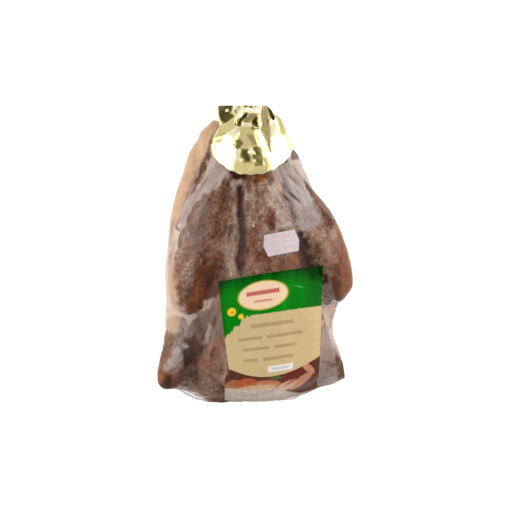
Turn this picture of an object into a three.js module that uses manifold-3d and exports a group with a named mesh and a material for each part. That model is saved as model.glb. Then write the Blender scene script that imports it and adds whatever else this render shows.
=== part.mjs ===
// A whole smoked hen, frozen and sealed in a clear film bag, lying on its back.
//
// The film clings to the breast and legs and spans the hollows between them, so the bag is one
// solid out to the film. Gold foil is wrapped round the leg ends and the gathered top of the bag.
// A printed label lies over the breast, and a small price sticker above it.
//
// Millimetres, +Z up. +Y runs from the neck end to the leg ends, and +X is the right of
// somebody who looks down on the breast. The origin is at the middle of the underside.

import * as THREE from 'three';
import { mergeVertices } from 'three/addons/utils/BufferGeometryUtils.js';
import Module from 'manifold-3d';

const wasm = await Module();
wasm.setup();

// ---- Driving dimensions -------------------------------------------------------------------

const FILM = 1.2; // the film and the frost under it, over the skin
const FILM_SPAN = 10; // how widely the film bridges a hollow between two muscles
const GAP = 0.4; // between two pieces that lie on each other
const FLOOR = 0; // the back is pressed flat here

const BAG_NECK_Y = 121; // where the gathered bag ends, inside the foil
const BAG_END_Y = -127; // where the film closes over the neck
const BAG_RINGS = 64;
const BAG_RAYS = 56;

const HEM_HEIGHT = 35; // the welded end of the film, above the floor
const HEM_DEPTH = 20; // how far the strip runs in from its edge
const HEM_EDGE_THICK = 1.6;
const HEM_ROOT_THICK = 13;
const HEM_COLUMNS = 30;
const HEM_ROWS = 3;

const FOIL_TOP_Y = 133.4;
const FOIL_HEM_Y = 96; // where the hem is at the sides
const FOIL_FRONT_DROP = 26; // the hem hangs this much lower over the breast
const FOIL_CENTRE = new THREE.Vector3(-4, 104, 66);
const FOIL_LEAN = 7; // the gathered end leans this far to the left
const FOIL_BELL = { half: 35, deep: 25 }; // half its width and depth at the hem
const FOIL_NECK = { half: 22, deep: 8 }; // and at the gathered end
const FOIL_RINGS = 17;
const FOIL_RAYS = 60;
const FOIL_SHEET = 1.6; // the crumpled foil stands this far off the film at its hem
const FOIL_STRETCH = 3; // it follows film that bulges this far past its own bell, and no more

const LABEL_THICK = 0.7;
const LABEL_COLUMNS = 14;
const LABEL_ROWS = 16;

const STICKER_WIDE = 32;
const STICKER_TALL = 19;
const STICKER_THICK = 0.6;
const STICKER_TURN = THREE.MathUtils.degToRad(11);
const STICKER_AT = new THREE.Vector2(22.5, 9.5);

const REACH = 130; // longer than any ray from the hen's middle to the film
const MARCH = 0.6; // the shortest step along such a ray

// ---- The hen: each muscle is an ellipsoid between two tips, or a tapering limb --------------

const v = (x, y, z) => new THREE.Vector3(x, y, z);

// An ellipsoid from tip to tip, `wide` across and `deep` in height (radii).
function muscle(from, to, wide, deep) {
  const centre = from.clone().add(to).multiplyScalar(0.5);
  const along = to.clone().sub(from);
  const long = along.length() / 2;
  along.normalize();
  const across = v(0, 0, 1).cross(along).normalize();
  const up = along.clone().cross(across);
  const d = v(0, 0, 0);
  return (p) => {
    d.subVectors(p, centre);
    const a = d.dot(along);
    const b = d.dot(across);
    const c = d.dot(up);
    const scaled = Math.hypot(a / long, b / wide, c / deep);
    const slope = Math.hypot(a / long ** 2, b / wide ** 2, c / deep ** 2);
    return slope < 1e-9 ? -Math.min(long, wide, deep) : (scaled * (scaled - 1)) / slope;
  };
}

// A limb that tapers from radius r1 at one joint to r2 at the next.
function limb(from, to, r1, r2) {
  const axis = to.clone().sub(from);
  const d = v(0, 0, 0);
  return (p) => {
    d.subVectors(p, from);
    const t = THREE.MathUtils.clamp(d.dot(axis) / axis.lengthSq(), 0, 1);
    return d.addScaledVector(axis, -t).length() - THREE.MathUtils.lerp(r1, r2, t);
  };
}

const hen = [
  // back, keel, and the two lobes of the breast, blunt at the neck end
  muscle(v(2, -116, 45), v(-4, 96, 43), 58, 46),
  muscle(v(16, -112, 66), v(4, 92, 62), 35, 34),
  muscle(v(14, -106, 82), v(4, 84, 72), 18, 21),
  muscle(v(-24, -116, 54), v(-6, 34, 62), 27, 33),
  muscle(v(46, -112, 54), v(26, 14, 62), 22, 32),
  muscle(v(-36, -94, 54), v(58, -88, 54), 27, 35),
  // shoulders and the stump of the neck
  muscle(v(-56, -94, 44), v(52, -92, 42), 26, 33),
  muscle(v(0, -80, 42), v(2, -125, 38), 26, 21),
  // left drumstick, knee and shank, and the thigh under them
  muscle(v(-64, -54, 58), v(-27, 78, 70), 28, 26),
  limb(v(-57, -36, 58), v(-54, -22, 60), 16, 20),
  limb(v(-32, 58, 70), v(-16, 102, 68), 13, 10),
  muscle(v(-40, 64, 32), v(-65, -54, 38), 24, 25),
  // right drumstick, knee and shank, the film stretched beside the shank, and the thigh
  muscle(v(81, -43, 50), v(30, 72, 64), 21, 24),
  limb(v(67, -23, 50), v(65, -13, 52), 13, 16),
  limb(v(30, 60, 66), v(12, 102, 68), 13, 10),
  limb(v(34, 60, 60), v(24, 85, 62), 12, 12),
  muscle(v(34, 64, 32), v(65, -46, 36), 20, 25),
  // the pale flank, the tail, and the film that is drawn in from them to the gather
  muscle(v(-62, -88, 30), v(-46, 102, 36), 23, 25),
  muscle(v(-26, 18, 38), v(-38, 122, 46), 18, 20),
  limb(v(-22, 84, 50), v(-9, 124, 62), 25, 12),
  // left wing, folded: upper wing, the second joint back along the flank, the film round them
  limb(v(-44, -72, 46), v(-76, -108, 33), 17, 11),
  limb(v(-75, -104, 34), v(-67, -60, 32), 11, 11),
  limb(v(-58, -98, 24), v(-52, -56, 24), 14, 14),
  limb(v(-66, -106, 31), v(-30, -113, 33), 12, 13),
  // right wing
  limb(v(46, -68, 44), v(66, -100, 32), 15, 11),
  limb(v(66, -97, 34), v(52, -58, 31), 9, 9),
  limb(v(50, -94, 24), v(42, -56, 24), 13, 13),
  limb(v(58, -34, 38), v(52, -70, 34), 13, 11),
  limb(v(58, -100, 30), v(30, -113, 33), 11, 13),
];

// Two fields joined with a fillet about `span` wide.
function fillet(a, b, span) {
  const h = Math.max(span - Math.abs(a - b), 0) / span;
  return Math.min(a, b) - (h * h * span) / 4;
}

// Pulled-up pleats of film that run down from the foil between the legs and the breast.
const PLEATS_END_Y = 10;
const pleats = [
  { from: v(30, 88, 78), to: v(60, 22, 74), high: 3.2, wide: 3.4 },
  { from: v(24, 90, 80), to: v(40, 30, 82), high: 2.6, wide: 3 },
  { from: v(-34, 84, 74), to: v(-62, 34, 66), high: 3, wide: 3.2 },
];

function pleatHeight(p) {
  let sum = 0;
  for (const { from, to, high, wide } of pleats) {
    const axis = to.clone().sub(from);
    const d = p.clone().sub(from);
    const t = THREE.MathUtils.clamp(d.dot(axis) / axis.lengthSq(), 0, 1);
    const off = d.addScaledVector(axis, -t).length();
    sum += high * Math.sin(Math.PI * t) ** 0.5 * Math.exp(-((off / wide) ** 2));
  }
  return sum;
}

// Under zero inside the bag, near true distance outside it.
function bagField(p) {
  const skinAt = hen.map((part) => part(p)).reduce((a, b) => fillet(a, b, FILM_SPAN));
  const film = skinAt - FILM;
  return p.y > PLEATS_END_Y ? film - pleatHeight(p) : film;
}

// The line that every ray starts from, inside the hen all along.
function middle(y) {
  const t = (y - BAG_END_Y) / (BAG_NECK_Y - BAG_END_Y);
  const lift = THREE.MathUtils.smoothstep(t, 0.72, 0.95);
  return v(THREE.MathUtils.lerp(2, -8, t), y, 42 + 24 * lift);
}

// How far the film, grown by `more`, is from `start` in the direction `way`.
function reach(start, way, more = 0) {
  const at = (r) => bagField(start.clone().addScaledVector(way, r)) - more;
  let out = REACH;
  let near = REACH;
  for (let gap = at(out); gap > 0 && near > 0; gap = at(near)) {
    out = near;
    near -= Math.max(MARCH, 0.6 * gap);
  }
  for (let i = 0; i < 12; i++) {
    const mid = (near + out) / 2;
    if (at(mid) > 0) out = mid;
    else near = mid;
  }
  return near;
}

// ---- Meshes --------------------------------------------------------------------------------

// A closed skin through rings of points, with a point at each end.
function skin(rings, first, last) {
  const n = rings[0].length;
  const points = [first, ...rings.flat(), last];
  const at = (i, j) => 1 + i * n + (j % n);
  const faces = [];
  for (let j = 0; j < n; j++) {
    faces.push(0, at(0, j), at(0, j + 1));
    for (let i = 0; i + 1 < rings.length; i++) {
      faces.push(at(i, j), at(i + 1, j), at(i, j + 1));
      faces.push(at(i, j + 1), at(i + 1, j), at(i + 1, j + 1));
    }
    faces.push(at(rings.length - 1, j + 1), at(rings.length - 1, j), points.length - 1);
  }
  return solidFrom(points, faces);
}

// A sheet with two faces split into triangles alike; `top` and `under` are grids of points.
function sheet(top, under) {
  const rows = top.length;
  const columns = top[0].length;
  const points = [...top.flat(), ...under.flat()];
  const up = (i, j) => i * columns + j;
  const down = (i, j) => up(i, j) + rows * columns;
  const faces = [];
  for (let i = 0; i + 1 < rows; i++)
    for (let j = 0; j + 1 < columns; j++) {
      faces.push(up(i, j), up(i, j + 1), up(i + 1, j + 1), up(i, j), up(i + 1, j + 1), up(i + 1, j));
      faces.push(down(i, j), down(i + 1, j + 1), down(i, j + 1));
      faces.push(down(i, j), down(i + 1, j), down(i + 1, j + 1));
    }
  const rim = [];
  for (let j = 0; j < columns - 1; j++) rim.push([0, j]);
  for (let i = 0; i < rows - 1; i++) rim.push([i, columns - 1]);
  for (let j = columns - 1; j > 0; j--) rim.push([rows - 1, j]);
  for (let i = rows - 1; i > 0; i--) rim.push([i, 0]);
  rim.forEach(([i, j], k) => {
    const [m, n] = rim[(k + 1) % rim.length];
    faces.push(down(i, j), down(m, n), up(m, n), down(i, j), up(m, n), up(i, j));
  });
  return solidFrom(points, faces);
}

function solidFrom(points, faces) {
  const position = new Float32Array(points.flatMap((p) => [p.x, p.y, p.z]));
  const geometry = new THREE.BufferGeometry()
    .setAttribute('position', new THREE.BufferAttribute(position, 3))
    .setIndex(faces);
  return toManifold(geometry);
}

function toManifold(geometry) {
  const merged = mergeVertices(geometry, 1e-4);
  return new wasm.Manifold(
    new wasm.Mesh({
      numProp: 3,
      vertProperties: merged.attributes.position.array,
      triVerts: new Uint32Array(merged.index.array),
    }),
  );
}

function toGeometry(solid) {
  const mesh = solid.getMesh();
  const geometry = new THREE.BufferGeometry();
  geometry.setAttribute('position', new THREE.BufferAttribute(mesh.vertProperties, 3));
  geometry.setIndex(new THREE.BufferAttribute(mesh.triVerts, 1));
  geometry.computeVertexNormals();
  return geometry;
}

function piece(name, solid, colour, roughness, metalness) {
  const material = new THREE.MeshStandardMaterial({ color: colour, roughness, metalness });
  const made = new THREE.Mesh(toGeometry(solid), material);
  made.name = name;
  return made;
}

// ---- The bag -------------------------------------------------------------------------------

// Directions from `start` in its own plane, spread over the section's width and height there.
function raysFrom(start) {
  const wide = (reach(start, v(1, 0, 0)) + reach(start, v(-1, 0, 0))) / 2;
  const high = (reach(start, v(0, 0, 1)) + reach(start, v(0, 0, -1))) / 2;
  return Array.from({ length: BAG_RAYS }, (_, j) => {
    const turn = (2 * Math.PI * j) / BAG_RAYS;
    return v(wide * Math.cos(turn), 0, high * Math.sin(turn)).normalize();
  });
}

// Film can't turn sharply, so each ray's length is evened with those before and after it.
function eased(lengths) {
  return lengths.map((ring, i) => {
    const before = lengths[Math.max(i - 1, 0)];
    const after = lengths[Math.min(i + 1, lengths.length - 1)];
    return ring.map((r, j) => (before[j] + 2 * r + after[j]) / 4);
  });
}

// The bag's body, or a copy of it that is `more` larger all round.
function bagBody(more = 0) {
  const from = BAG_END_Y + 1.2;
  const to = BAG_NECK_Y - 1;
  const starts = Array.from({ length: BAG_RINGS }, (_, i) =>
    middle(THREE.MathUtils.lerp(from, to, i / (BAG_RINGS - 1))),
  );
  const rays = starts.map(raysFrom);
  const lengths = rays.map((ring, i) => ring.map((way) => reach(starts[i], way, more)));
  const even = eased(eased(lengths));
  const rings = rays.map((ring, i) =>
    ring.map((way, j) => {
      const point = starts[i].clone().addScaledVector(way, even[i][j]);
      return point.setZ(Math.max(point.z, FLOOR));
    }),
  );
  if (more > 0) rings.push(rings.at(-1).map((p) => p.clone().setY(to + more)));
  const first = middle(from).setY(BAG_END_Y - more);
  const last = middle(to).setY(BAG_NECK_Y + more);
  return skin(rings, first, last);
}

// The edge of the welded end, seen from above, from the left wing to the right one.
const HEM_EDGE = [
  new THREE.Vector2(-80, -119),
  new THREE.Vector2(-66, -124),
  new THREE.Vector2(-52, -131),
  new THREE.Vector2(-30, -132.6),
  new THREE.Vector2(32, -130.5),
  new THREE.Vector2(44, -125),
  new THREE.Vector2(79, -110),
];

// A thin wavy strip, thick where it leaves the body.
function bagHem() {
  const edge = new THREE.Path(HEM_EDGE).getSpacedPoints(HEM_COLUMNS);
  const grid = (side) =>
    Array.from({ length: HEM_ROWS + 1 }, (_, i) =>
      edge.map(({ x, y }) => {
        const inward = i / HEM_ROWS;
        const thick = THREE.MathUtils.lerp(HEM_EDGE_THICK, HEM_ROOT_THICK, inward);
        const wave = 2 * Math.sin(x / 9) * (1 - inward);
        return v(x * (1 - 0.15 * inward), y + HEM_DEPTH * inward, HEM_HEIGHT + wave + (side * thick) / 2);
      }),
    );
  return sheet(grid(1), grid(-1));
}

// ---- The foil ------------------------------------------------------------------------------

// The hem of the foil hangs lowest in front, over the breast, and rises at the sides.
const foilHem = (turn) => FOIL_HEM_Y - FOIL_FRONT_DROP * Math.max(Math.sin(turn), 0) ** 1.5;

// Sharp-edged pleats round the foil, deeper where it is gathered.
function foilPleat(turn, t) {
  const fine = Math.abs(((turn * 9) / Math.PI + 0.7 * Math.sin(3 * turn)) % 2 - 1) - 0.5;
  const broad = Math.abs(((turn * 4) / Math.PI + 0.3) % 2 - 1) - 0.5;
  return (2.6 * fine + 2.2 * broad) * (0.35 + 0.65 * t);
}

function foilPoint(turn, t) {
  const y = THREE.MathUtils.lerp(foilHem(turn), FOIL_TOP_Y, t);
  const centre = FOIL_CENTRE.clone().setY(y);
  centre.x -= FOIL_LEAN * t * t;
  const gather = THREE.MathUtils.smoothstep(t, 0.4, 1);
  const half = THREE.MathUtils.lerp(FOIL_BELL.half, FOIL_NECK.half, gather);
  const deep = THREE.MathUtils.lerp(FOIL_BELL.deep, FOIL_NECK.deep, gather);
  const way = v(half * Math.cos(turn), 0, deep * Math.sin(turn));
  const own = way.length() + foilPleat(turn, t);
  way.normalize();
  const over = y < BAG_NECK_Y ? reach(centre, way) + FOIL_SHEET - own : 0;
  const hold = 1 - THREE.MathUtils.smoothstep(over, FOIL_STRETCH, 2 * FOIL_STRETCH);
  const r = own + THREE.MathUtils.clamp(over, 0, FOIL_STRETCH) * hold;
  return centre.addScaledVector(way, r);
}

function foilSolid() {
  const rings = Array.from({ length: FOIL_RINGS }, (_, i) =>
    Array.from({ length: FOIL_RAYS }, (_, j) =>
      foilPoint((2 * Math.PI * j) / FOIL_RAYS, i / (FOIL_RINGS - 1)),
    ),
  );
  const first = FOIL_CENTRE.clone().setY(FOIL_HEM_Y - FOIL_FRONT_DROP / 2);
  const last = FOIL_CENTRE.clone().setY(FOIL_TOP_Y + 0.3);
  last.x -= FOIL_LEAN;
  return largest(skin(rings, first, last).subtract(bagBody(GAP)));
}

// Keeps the main body of a cut solid and drops its loose scraps.
function largest(solid) {
  return solid.decompose().sort((a, b) => b.volume() - a.volume())[0];
}

// ---- The label and the sticker --------------------------------------------------------------

// Height of the bag's upper side at (x, y), found on the faceted solid itself.
function surfaceOf(geometry) {
  const mesh = new THREE.Mesh(geometry, new THREE.MeshBasicMaterial({ side: THREE.DoubleSide }));
  mesh.updateMatrixWorld();
  const ray = new THREE.Raycaster();
  return (x, y) => {
    ray.set(v(x, y, 200), v(0, 0, -1));
    const hit = ray.intersectObject(mesh)[0];
    return hit ? hit.point.z : null;
  };
}

// A label doesn't follow small dips: it takes the highest film within `stiff` of each point.
function resting(surface, stiff) {
  return (x, y) => {
    let high = -Infinity;
    for (let a = -1; a <= 1; a++)
      for (let b = -1; b <= 1; b++) {
        const z = surface(x + a * stiff, y + b * stiff);
        if (z !== null) high = Math.max(high, z);
      }
    return high;
  };
}

function lieOn(surface, place, rows, columns, thick, stiff) {
  const height = resting(surface, stiff);
  const grid = (lift) =>
    Array.from({ length: rows + 1 }, (_, i) =>
      Array.from({ length: columns + 1 }, (_, j) => {
        const { x, y } = place(j / columns, i / rows);
        return v(x, y, height(x, y) + GAP + lift);
      }),
    );
  return sheet(grid(thick), grid(0));
}

// The label's four corners seen from above, from its lower left round to its upper left.
const LABEL_CORNERS = [
  new THREE.Vector2(-27, -126),
  new THREE.Vector2(54, -117.5),
  new THREE.Vector2(59, -12.5),
  new THREE.Vector2(-32, -26),
];

function onLabel(s, t) {
  const [a, b, c, d] = LABEL_CORNERS;
  const low = a.clone().lerp(b, s);
  const top = d.clone().lerp(c, s);
  return low.lerp(top, t);
}

// The short sides of a price sticker are cut to a blunt point.
function onSticker(s, t) {
  const point = 2.4 * (1 - Math.abs(2 * t - 1));
  const x = (s - 0.5) * (STICKER_WIDE - 4.8 + 2 * point);
  const y = (t - 0.5) * STICKER_TALL;
  return new THREE.Vector2(x, y).rotateAround(new THREE.Vector2(), STICKER_TURN).add(STICKER_AT);
}

// ---- Assembly ------------------------------------------------------------------------------

const bag = bagBody().add(bagHem());
const foil = foilSolid();
const surface = surfaceOf(toGeometry(bag));
const label = lieOn(surface, onLabel, LABEL_ROWS, LABEL_COLUMNS, LABEL_THICK, 3);
const sticker = lieOn(surface, onSticker, 4, 6, STICKER_THICK, 2);

const model = new THREE.Group();
model.add(
  piece('bag', bag, 0x7a4c38, 0.35, 0),
  piece('foil_cap', foil, 0xd9bf72, 0.25, 0.9),
  piece('label', label, 0xc9b080, 0.5, 0),
  piece('price_sticker', sticker, 0xe4dcdc, 0.6, 0),
);

export default model;
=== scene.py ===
# %% [markdown]
# # A smoked hen in a film bag
#
# The real thing is a whole smoked hen, frozen, in a clear film bag that clings to it. Gold foil
# is wrapped round the leg ends, a printed label lies over the breast, and a small price sticker
# sits above it. The bird lies on its back, the breast up, and the camera looks straight down.
#
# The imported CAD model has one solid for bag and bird. Here it becomes what it is: a hen with
# brown skin, and over it a film that is clear where it touches and milky with frost where it
# spans a hollow. That order, flesh first and film over it, gives the mottled look by itself.

import math

import bmesh
import bpy
import numpy as np
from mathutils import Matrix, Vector, noise
from mathutils.bvhtree import BVHTree


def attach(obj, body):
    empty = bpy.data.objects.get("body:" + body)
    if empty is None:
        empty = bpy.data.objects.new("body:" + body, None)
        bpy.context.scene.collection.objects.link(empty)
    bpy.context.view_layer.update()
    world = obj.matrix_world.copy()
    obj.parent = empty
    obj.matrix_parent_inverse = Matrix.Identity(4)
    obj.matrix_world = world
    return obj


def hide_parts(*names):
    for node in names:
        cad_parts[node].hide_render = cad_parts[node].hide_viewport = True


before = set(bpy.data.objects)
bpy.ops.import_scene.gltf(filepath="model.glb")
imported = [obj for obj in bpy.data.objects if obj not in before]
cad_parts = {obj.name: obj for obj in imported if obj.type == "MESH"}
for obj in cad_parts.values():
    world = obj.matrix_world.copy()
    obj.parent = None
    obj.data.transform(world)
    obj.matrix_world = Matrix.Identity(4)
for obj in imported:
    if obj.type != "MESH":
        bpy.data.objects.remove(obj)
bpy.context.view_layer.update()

# %% [markdown]
# ## Tools for the bench
#
# Blender counts in metres and this script in millimetres. An operator acts on all that is
# selected, so `take` selects one piece and nothing else before each step. `modify` adds a
# modifier, sets it and applies it, as one would by hand in the Properties editor.

# %% Select, modify and measure
MM = 0.001


def take(*pieces):
    """Selects these pieces and nothing else, and makes the first one active."""
    bpy.ops.object.select_all(action="DESELECT")
    for piece in pieces:
        piece.select_set(True)
    bpy.context.view_layer.objects.active = pieces[0]
    return pieces[0]


def modify(piece, kind, **settings):
    """Adds a modifier to a piece and applies it at once."""
    take(piece)
    bpy.ops.object.modifier_add(type=kind)
    modifier = piece.modifiers[-1]
    for name, value in settings.items():
        setattr(modifier, name, value)
    bpy.ops.object.modifier_apply(modifier=modifier.name)


def report(piece):
    """Prints a piece's triangles and its size in millimetres."""
    count = sum(len(face.vertices) - 2 for face in piece.data.polygons)
    print(f"{piece.name}: {count} triangles,", [round(x / MM, 1) for x in piece.dimensions], "mm")


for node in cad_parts.values():
    report(node)

# %% [markdown]
# ## The hen
#
# A trussed hen is a rounded back and keel, two lobes of breast, two drumsticks pressed to its
# sides and two folded wings. One could sculpt it from a block. Here each muscle is a sphere
# stretched between its two tips, as a sculptor adds lumps of clay. The lumps are those of the
# CAD model, so the hen fits the bag with less than a millimetre to spare.

# %% Stretch a sphere for each muscle
MUSCLES = [  # tip, tip, half width, half height
    ((2, -116, 45), (-4, 96, 43), 58, 46),  # back and keel
    ((16, -112, 66), (4, 92, 62), 35, 34),  # breast
    ((14, -106, 82), (4, 84, 72), 18, 21),  # its ridge
    ((-24, -116, 54), (-6, 34, 62), 27, 33),  # left lobe
    ((46, -112, 54), (26, 14, 62), 22, 32),  # right lobe
    ((-36, -94, 54), (58, -88, 54), 27, 35),
    ((-56, -94, 44), (52, -92, 42), 26, 33),  # shoulders
    ((0, -80, 42), (2, -124, 38), 26, 20),  # neck
    ((-64, -54, 58), (-27, 78, 70), 28, 26),  # left drumstick
    ((-40, 64, 32), (-65, -54, 38), 24, 25),  # left thigh
    ((81, -43, 50), (30, 72, 64), 21, 24),  # right drumstick
    ((34, 64, 32), (65, -46, 36), 20, 25),  # right thigh
    ((-63, -50, 31), (-47, 104, 37), 22.5, 24),  # pale flank
    ((-27, 18, 38), (-39, 121, 47), 18.5, 20),  # tail
]
PLUMP = 0.7  # how much the skin stands out over the CAD model's muscles, in mm

lumps = []
for tip, end, wide, deep in MUSCLES:
    way = Vector(end) - Vector(tip)
    middle = (Vector(tip) + Vector(end)) / 2 * MM
    bpy.ops.object.select_all(action="DESELECT")
    bpy.ops.mesh.primitive_uv_sphere_add(segments=40, ring_count=24, radius=MM, location=middle)
    lump = bpy.context.object
    lump.rotation_mode = "QUATERNION"
    lump.rotation_quaternion = way.to_track_quat("Y", "Z")
    lump.scale = (wide + PLUMP, way.length / 2 + PLUMP, deep + PLUMP)
    lumps.append(lump)
print("muscles:", len(lumps))

# %% [markdown]
# Knees, shanks and wings are round and thin out along the bone. A row of spheres from joint to
# joint, each a little smaller than the one before, gives such a taper without a tilt to set.

# %% Lay a row of spheres for each limb
LIMBS = [  # joint, joint, radius at each
    ((-57, -36, 58), (-54, -22, 60), 16, 20),  # left knee
    ((-32, 58, 70), (-16, 102, 68), 13, 10),  # left shank
    ((67, -23, 50), (65, -13, 52), 13, 16),  # right knee
    ((30, 60, 66), (12, 102, 68), 13, 10),  # right shank
    ((-44, -72, 46), (-76, -111, 33), 17, 11.5),  # left wing
    ((-77, -106, 34), (-71, -66, 32), 11.5, 9.5),
    ((46, -68, 44), (66, -100, 32), 15, 11),  # right wing
    ((66, -97, 34), (54, -66, 30), 9, 8),
    ((-68, -111, 31), (-30, -119, 33), 12, 13),  # wing tips, folded under the neck
    ((58, -100, 30), (30, -113, 33), 11, 13),
]
BEADS = 7  # spheres in a row

for joint, end, thick, thin in LIMBS:
    way = Vector(end) - Vector(joint)
    for share in (bead / (BEADS - 1) for bead in range(BEADS)):
        bpy.ops.mesh.primitive_uv_sphere_add(
            segments=28,
            ring_count=16,
            radius=(thick + (thin - thick) * share + PLUMP) * MM,
            location=(Vector(joint) + way * share) * MM,
        )
        lumps.append(bpy.context.object)
print("lumps:", len(lumps))

# %% [markdown]
# A Boolean union would keep the sharp seams between the lumps. A voxel remesh, which rebuilds
# the whole as one even skin, joins them and drops what lies inside, and smoothing then rounds
# the grooves, as skin does over muscle.

# %% Join the lumps into one skin
HEN_VOXEL = 1.3  # mm

hen = take(*lumps)
bpy.ops.object.join()
bpy.ops.object.transform_apply(location=True, rotation=True, scale=True)
hen.name = "smoked_hen"
modify(hen, "REMESH", mode="VOXEL", voxel_size=HEN_VOXEL * MM)
modify(hen, "SMOOTH", factor=0.5, iterations=6)
report(hen)

# %% [markdown]
# The last shape comes from soft pulls, as with proportional editing: everything near a point
# moves by a few millimetres, and less the further it is away. Bag and bird get the same pulls,
# so that they keep fitting.

# %% Pull the hen into shape
PULLS = [  # centre (x, y), radius, shift (x, y), all in mm
    ((54, 57), 17, (-3.8, 0)),
    ((-68, 72), 24, (2.6, 0)),
    ((-47, 119), 9, (4.5, -1)),
    ((62, -62), 13, (2.6, 0)),
    ((-85, -117), 11, (-2.5, -2.5)),
    ((84, -41), 9, (-4, 1)),
    ((69, -51), 8, (2.5, 0)),
    ((-50, 112), 12, (-2, 1)),
    ((-80, -56), 13, (-2.2, 0)),
]


def points_of(piece):
    """A piece's vertices as rows of x, y, z in millimetres."""
    flat = np.zeros(len(piece.data.vertices) * 3)
    piece.data.vertices.foreach_get("co", flat)
    return flat.reshape(-1, 3) / MM


def set_points(piece, points):
    """Moves a piece's vertices to these rows of x, y, z in millimetres."""
    piece.data.vertices.foreach_set("co", (points * MM).ravel())
    piece.data.update()


def pull(piece):
    """Moves a piece's points by all the soft pulls."""
    points = points_of(piece)
    shift = np.zeros((len(points), 2))
    for centre, radius, way in PULLS:
        off = np.hypot(*(points[:, :2] - centre).T)
        shift += np.exp(-((off / radius) ** 2))[:, None] * way
    points[:, :2] += shift
    set_points(piece, points)


pull(hen)
report(hen)

# %% [markdown]
# Skin that has been smoked and frozen isn't smooth: it is drawn into folds about 6 mm wide,
# with finer wrinkles on them. Two Displace modifiers with cloud textures raise both sizes. The
# back is then pressed level just above the floor, which leaves room for the film.

# %% Wrinkle the skin
SKIN_WRINKLES = (("skin_folds", 9, 1.3), ("skin_wrinkles", 3, 0.5))  # texture, size, height in mm
SKIN_LOWEST = 0.9  # mm above the floor

for name, size, height in SKIN_WRINKLES:
    texture = bpy.data.textures.new(name, "CLOUDS")
    texture.noise_scale = size * MM
    modify(
        hen,
        "DISPLACE",
        texture=texture,
        texture_coords="LOCAL",
        strength=height * MM,
        mid_level=0.62,  # above a half, so that the skin shrinks more than it swells
    )

points = points_of(hen)
points[:, 2] = np.maximum(points[:, 2], SKIN_LOWEST)
set_points(hen, points)
take(hen)
bpy.ops.object.shade_smooth()
report(hen)

# %% [markdown]
# Some skin of a hen never took smoke: the flank at its left side is pale, with a soft but clear
# edge. It could be a second material, but then the edge would be hard. A number on each vertex
# says how pale it is, and the material mixes two skins by it.

# %% Paint the pale flank
FLANK_Y = (-60, 8, 21.6, 35, 48.6, 58, 71, 80, 94, 107, 119)
FLANK_X = (-84, -75, -71.5, -68, -62.5, -59, -54, -50, -43, -38, -29)  # its edge at each y
FLANK_SOFT = 1.5  # half the width of that edge, in mm


def smoothstep(x, low, high):
    """0 at low, 1 at high, and an easy curve between them."""
    t = np.clip((np.asarray(x, dtype=float) - low) / (high - low), 0, 1)
    return t * t * (3 - 2 * t)


def clouds(points, size, seed=0.0):
    """Smooth noise from about -1 to 1 at each point; size is a lump's width along x, y and z."""
    scaled = points / np.asarray(size, dtype=float) + seed
    return np.array([noise.noise(Vector(p)) for p in scaled]) * 1.6


def store(piece, name, values):
    """Keeps one number per vertex on a piece, for its material to read."""
    layer = piece.data.attributes.new(name, "FLOAT", "POINT")
    layer.data.foreach_set("value", np.asarray(values, dtype=np.float32))


edge = np.interp(points[:, 1], FLANK_Y, FLANK_X) + 1.2 * clouds(points, (14, 14, 14), 3.0)
pale = smoothstep(edge - points[:, 0], -FLANK_SOFT, FLANK_SOFT)
pale *= smoothstep(points[:, 1], -75, -40)  # it fades out towards the shoulder
store(hen, "pale", pale * smoothstep(points[:, 2], 70, 62))
print("pale skin:", round(float(pale.mean()), 3))
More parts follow.
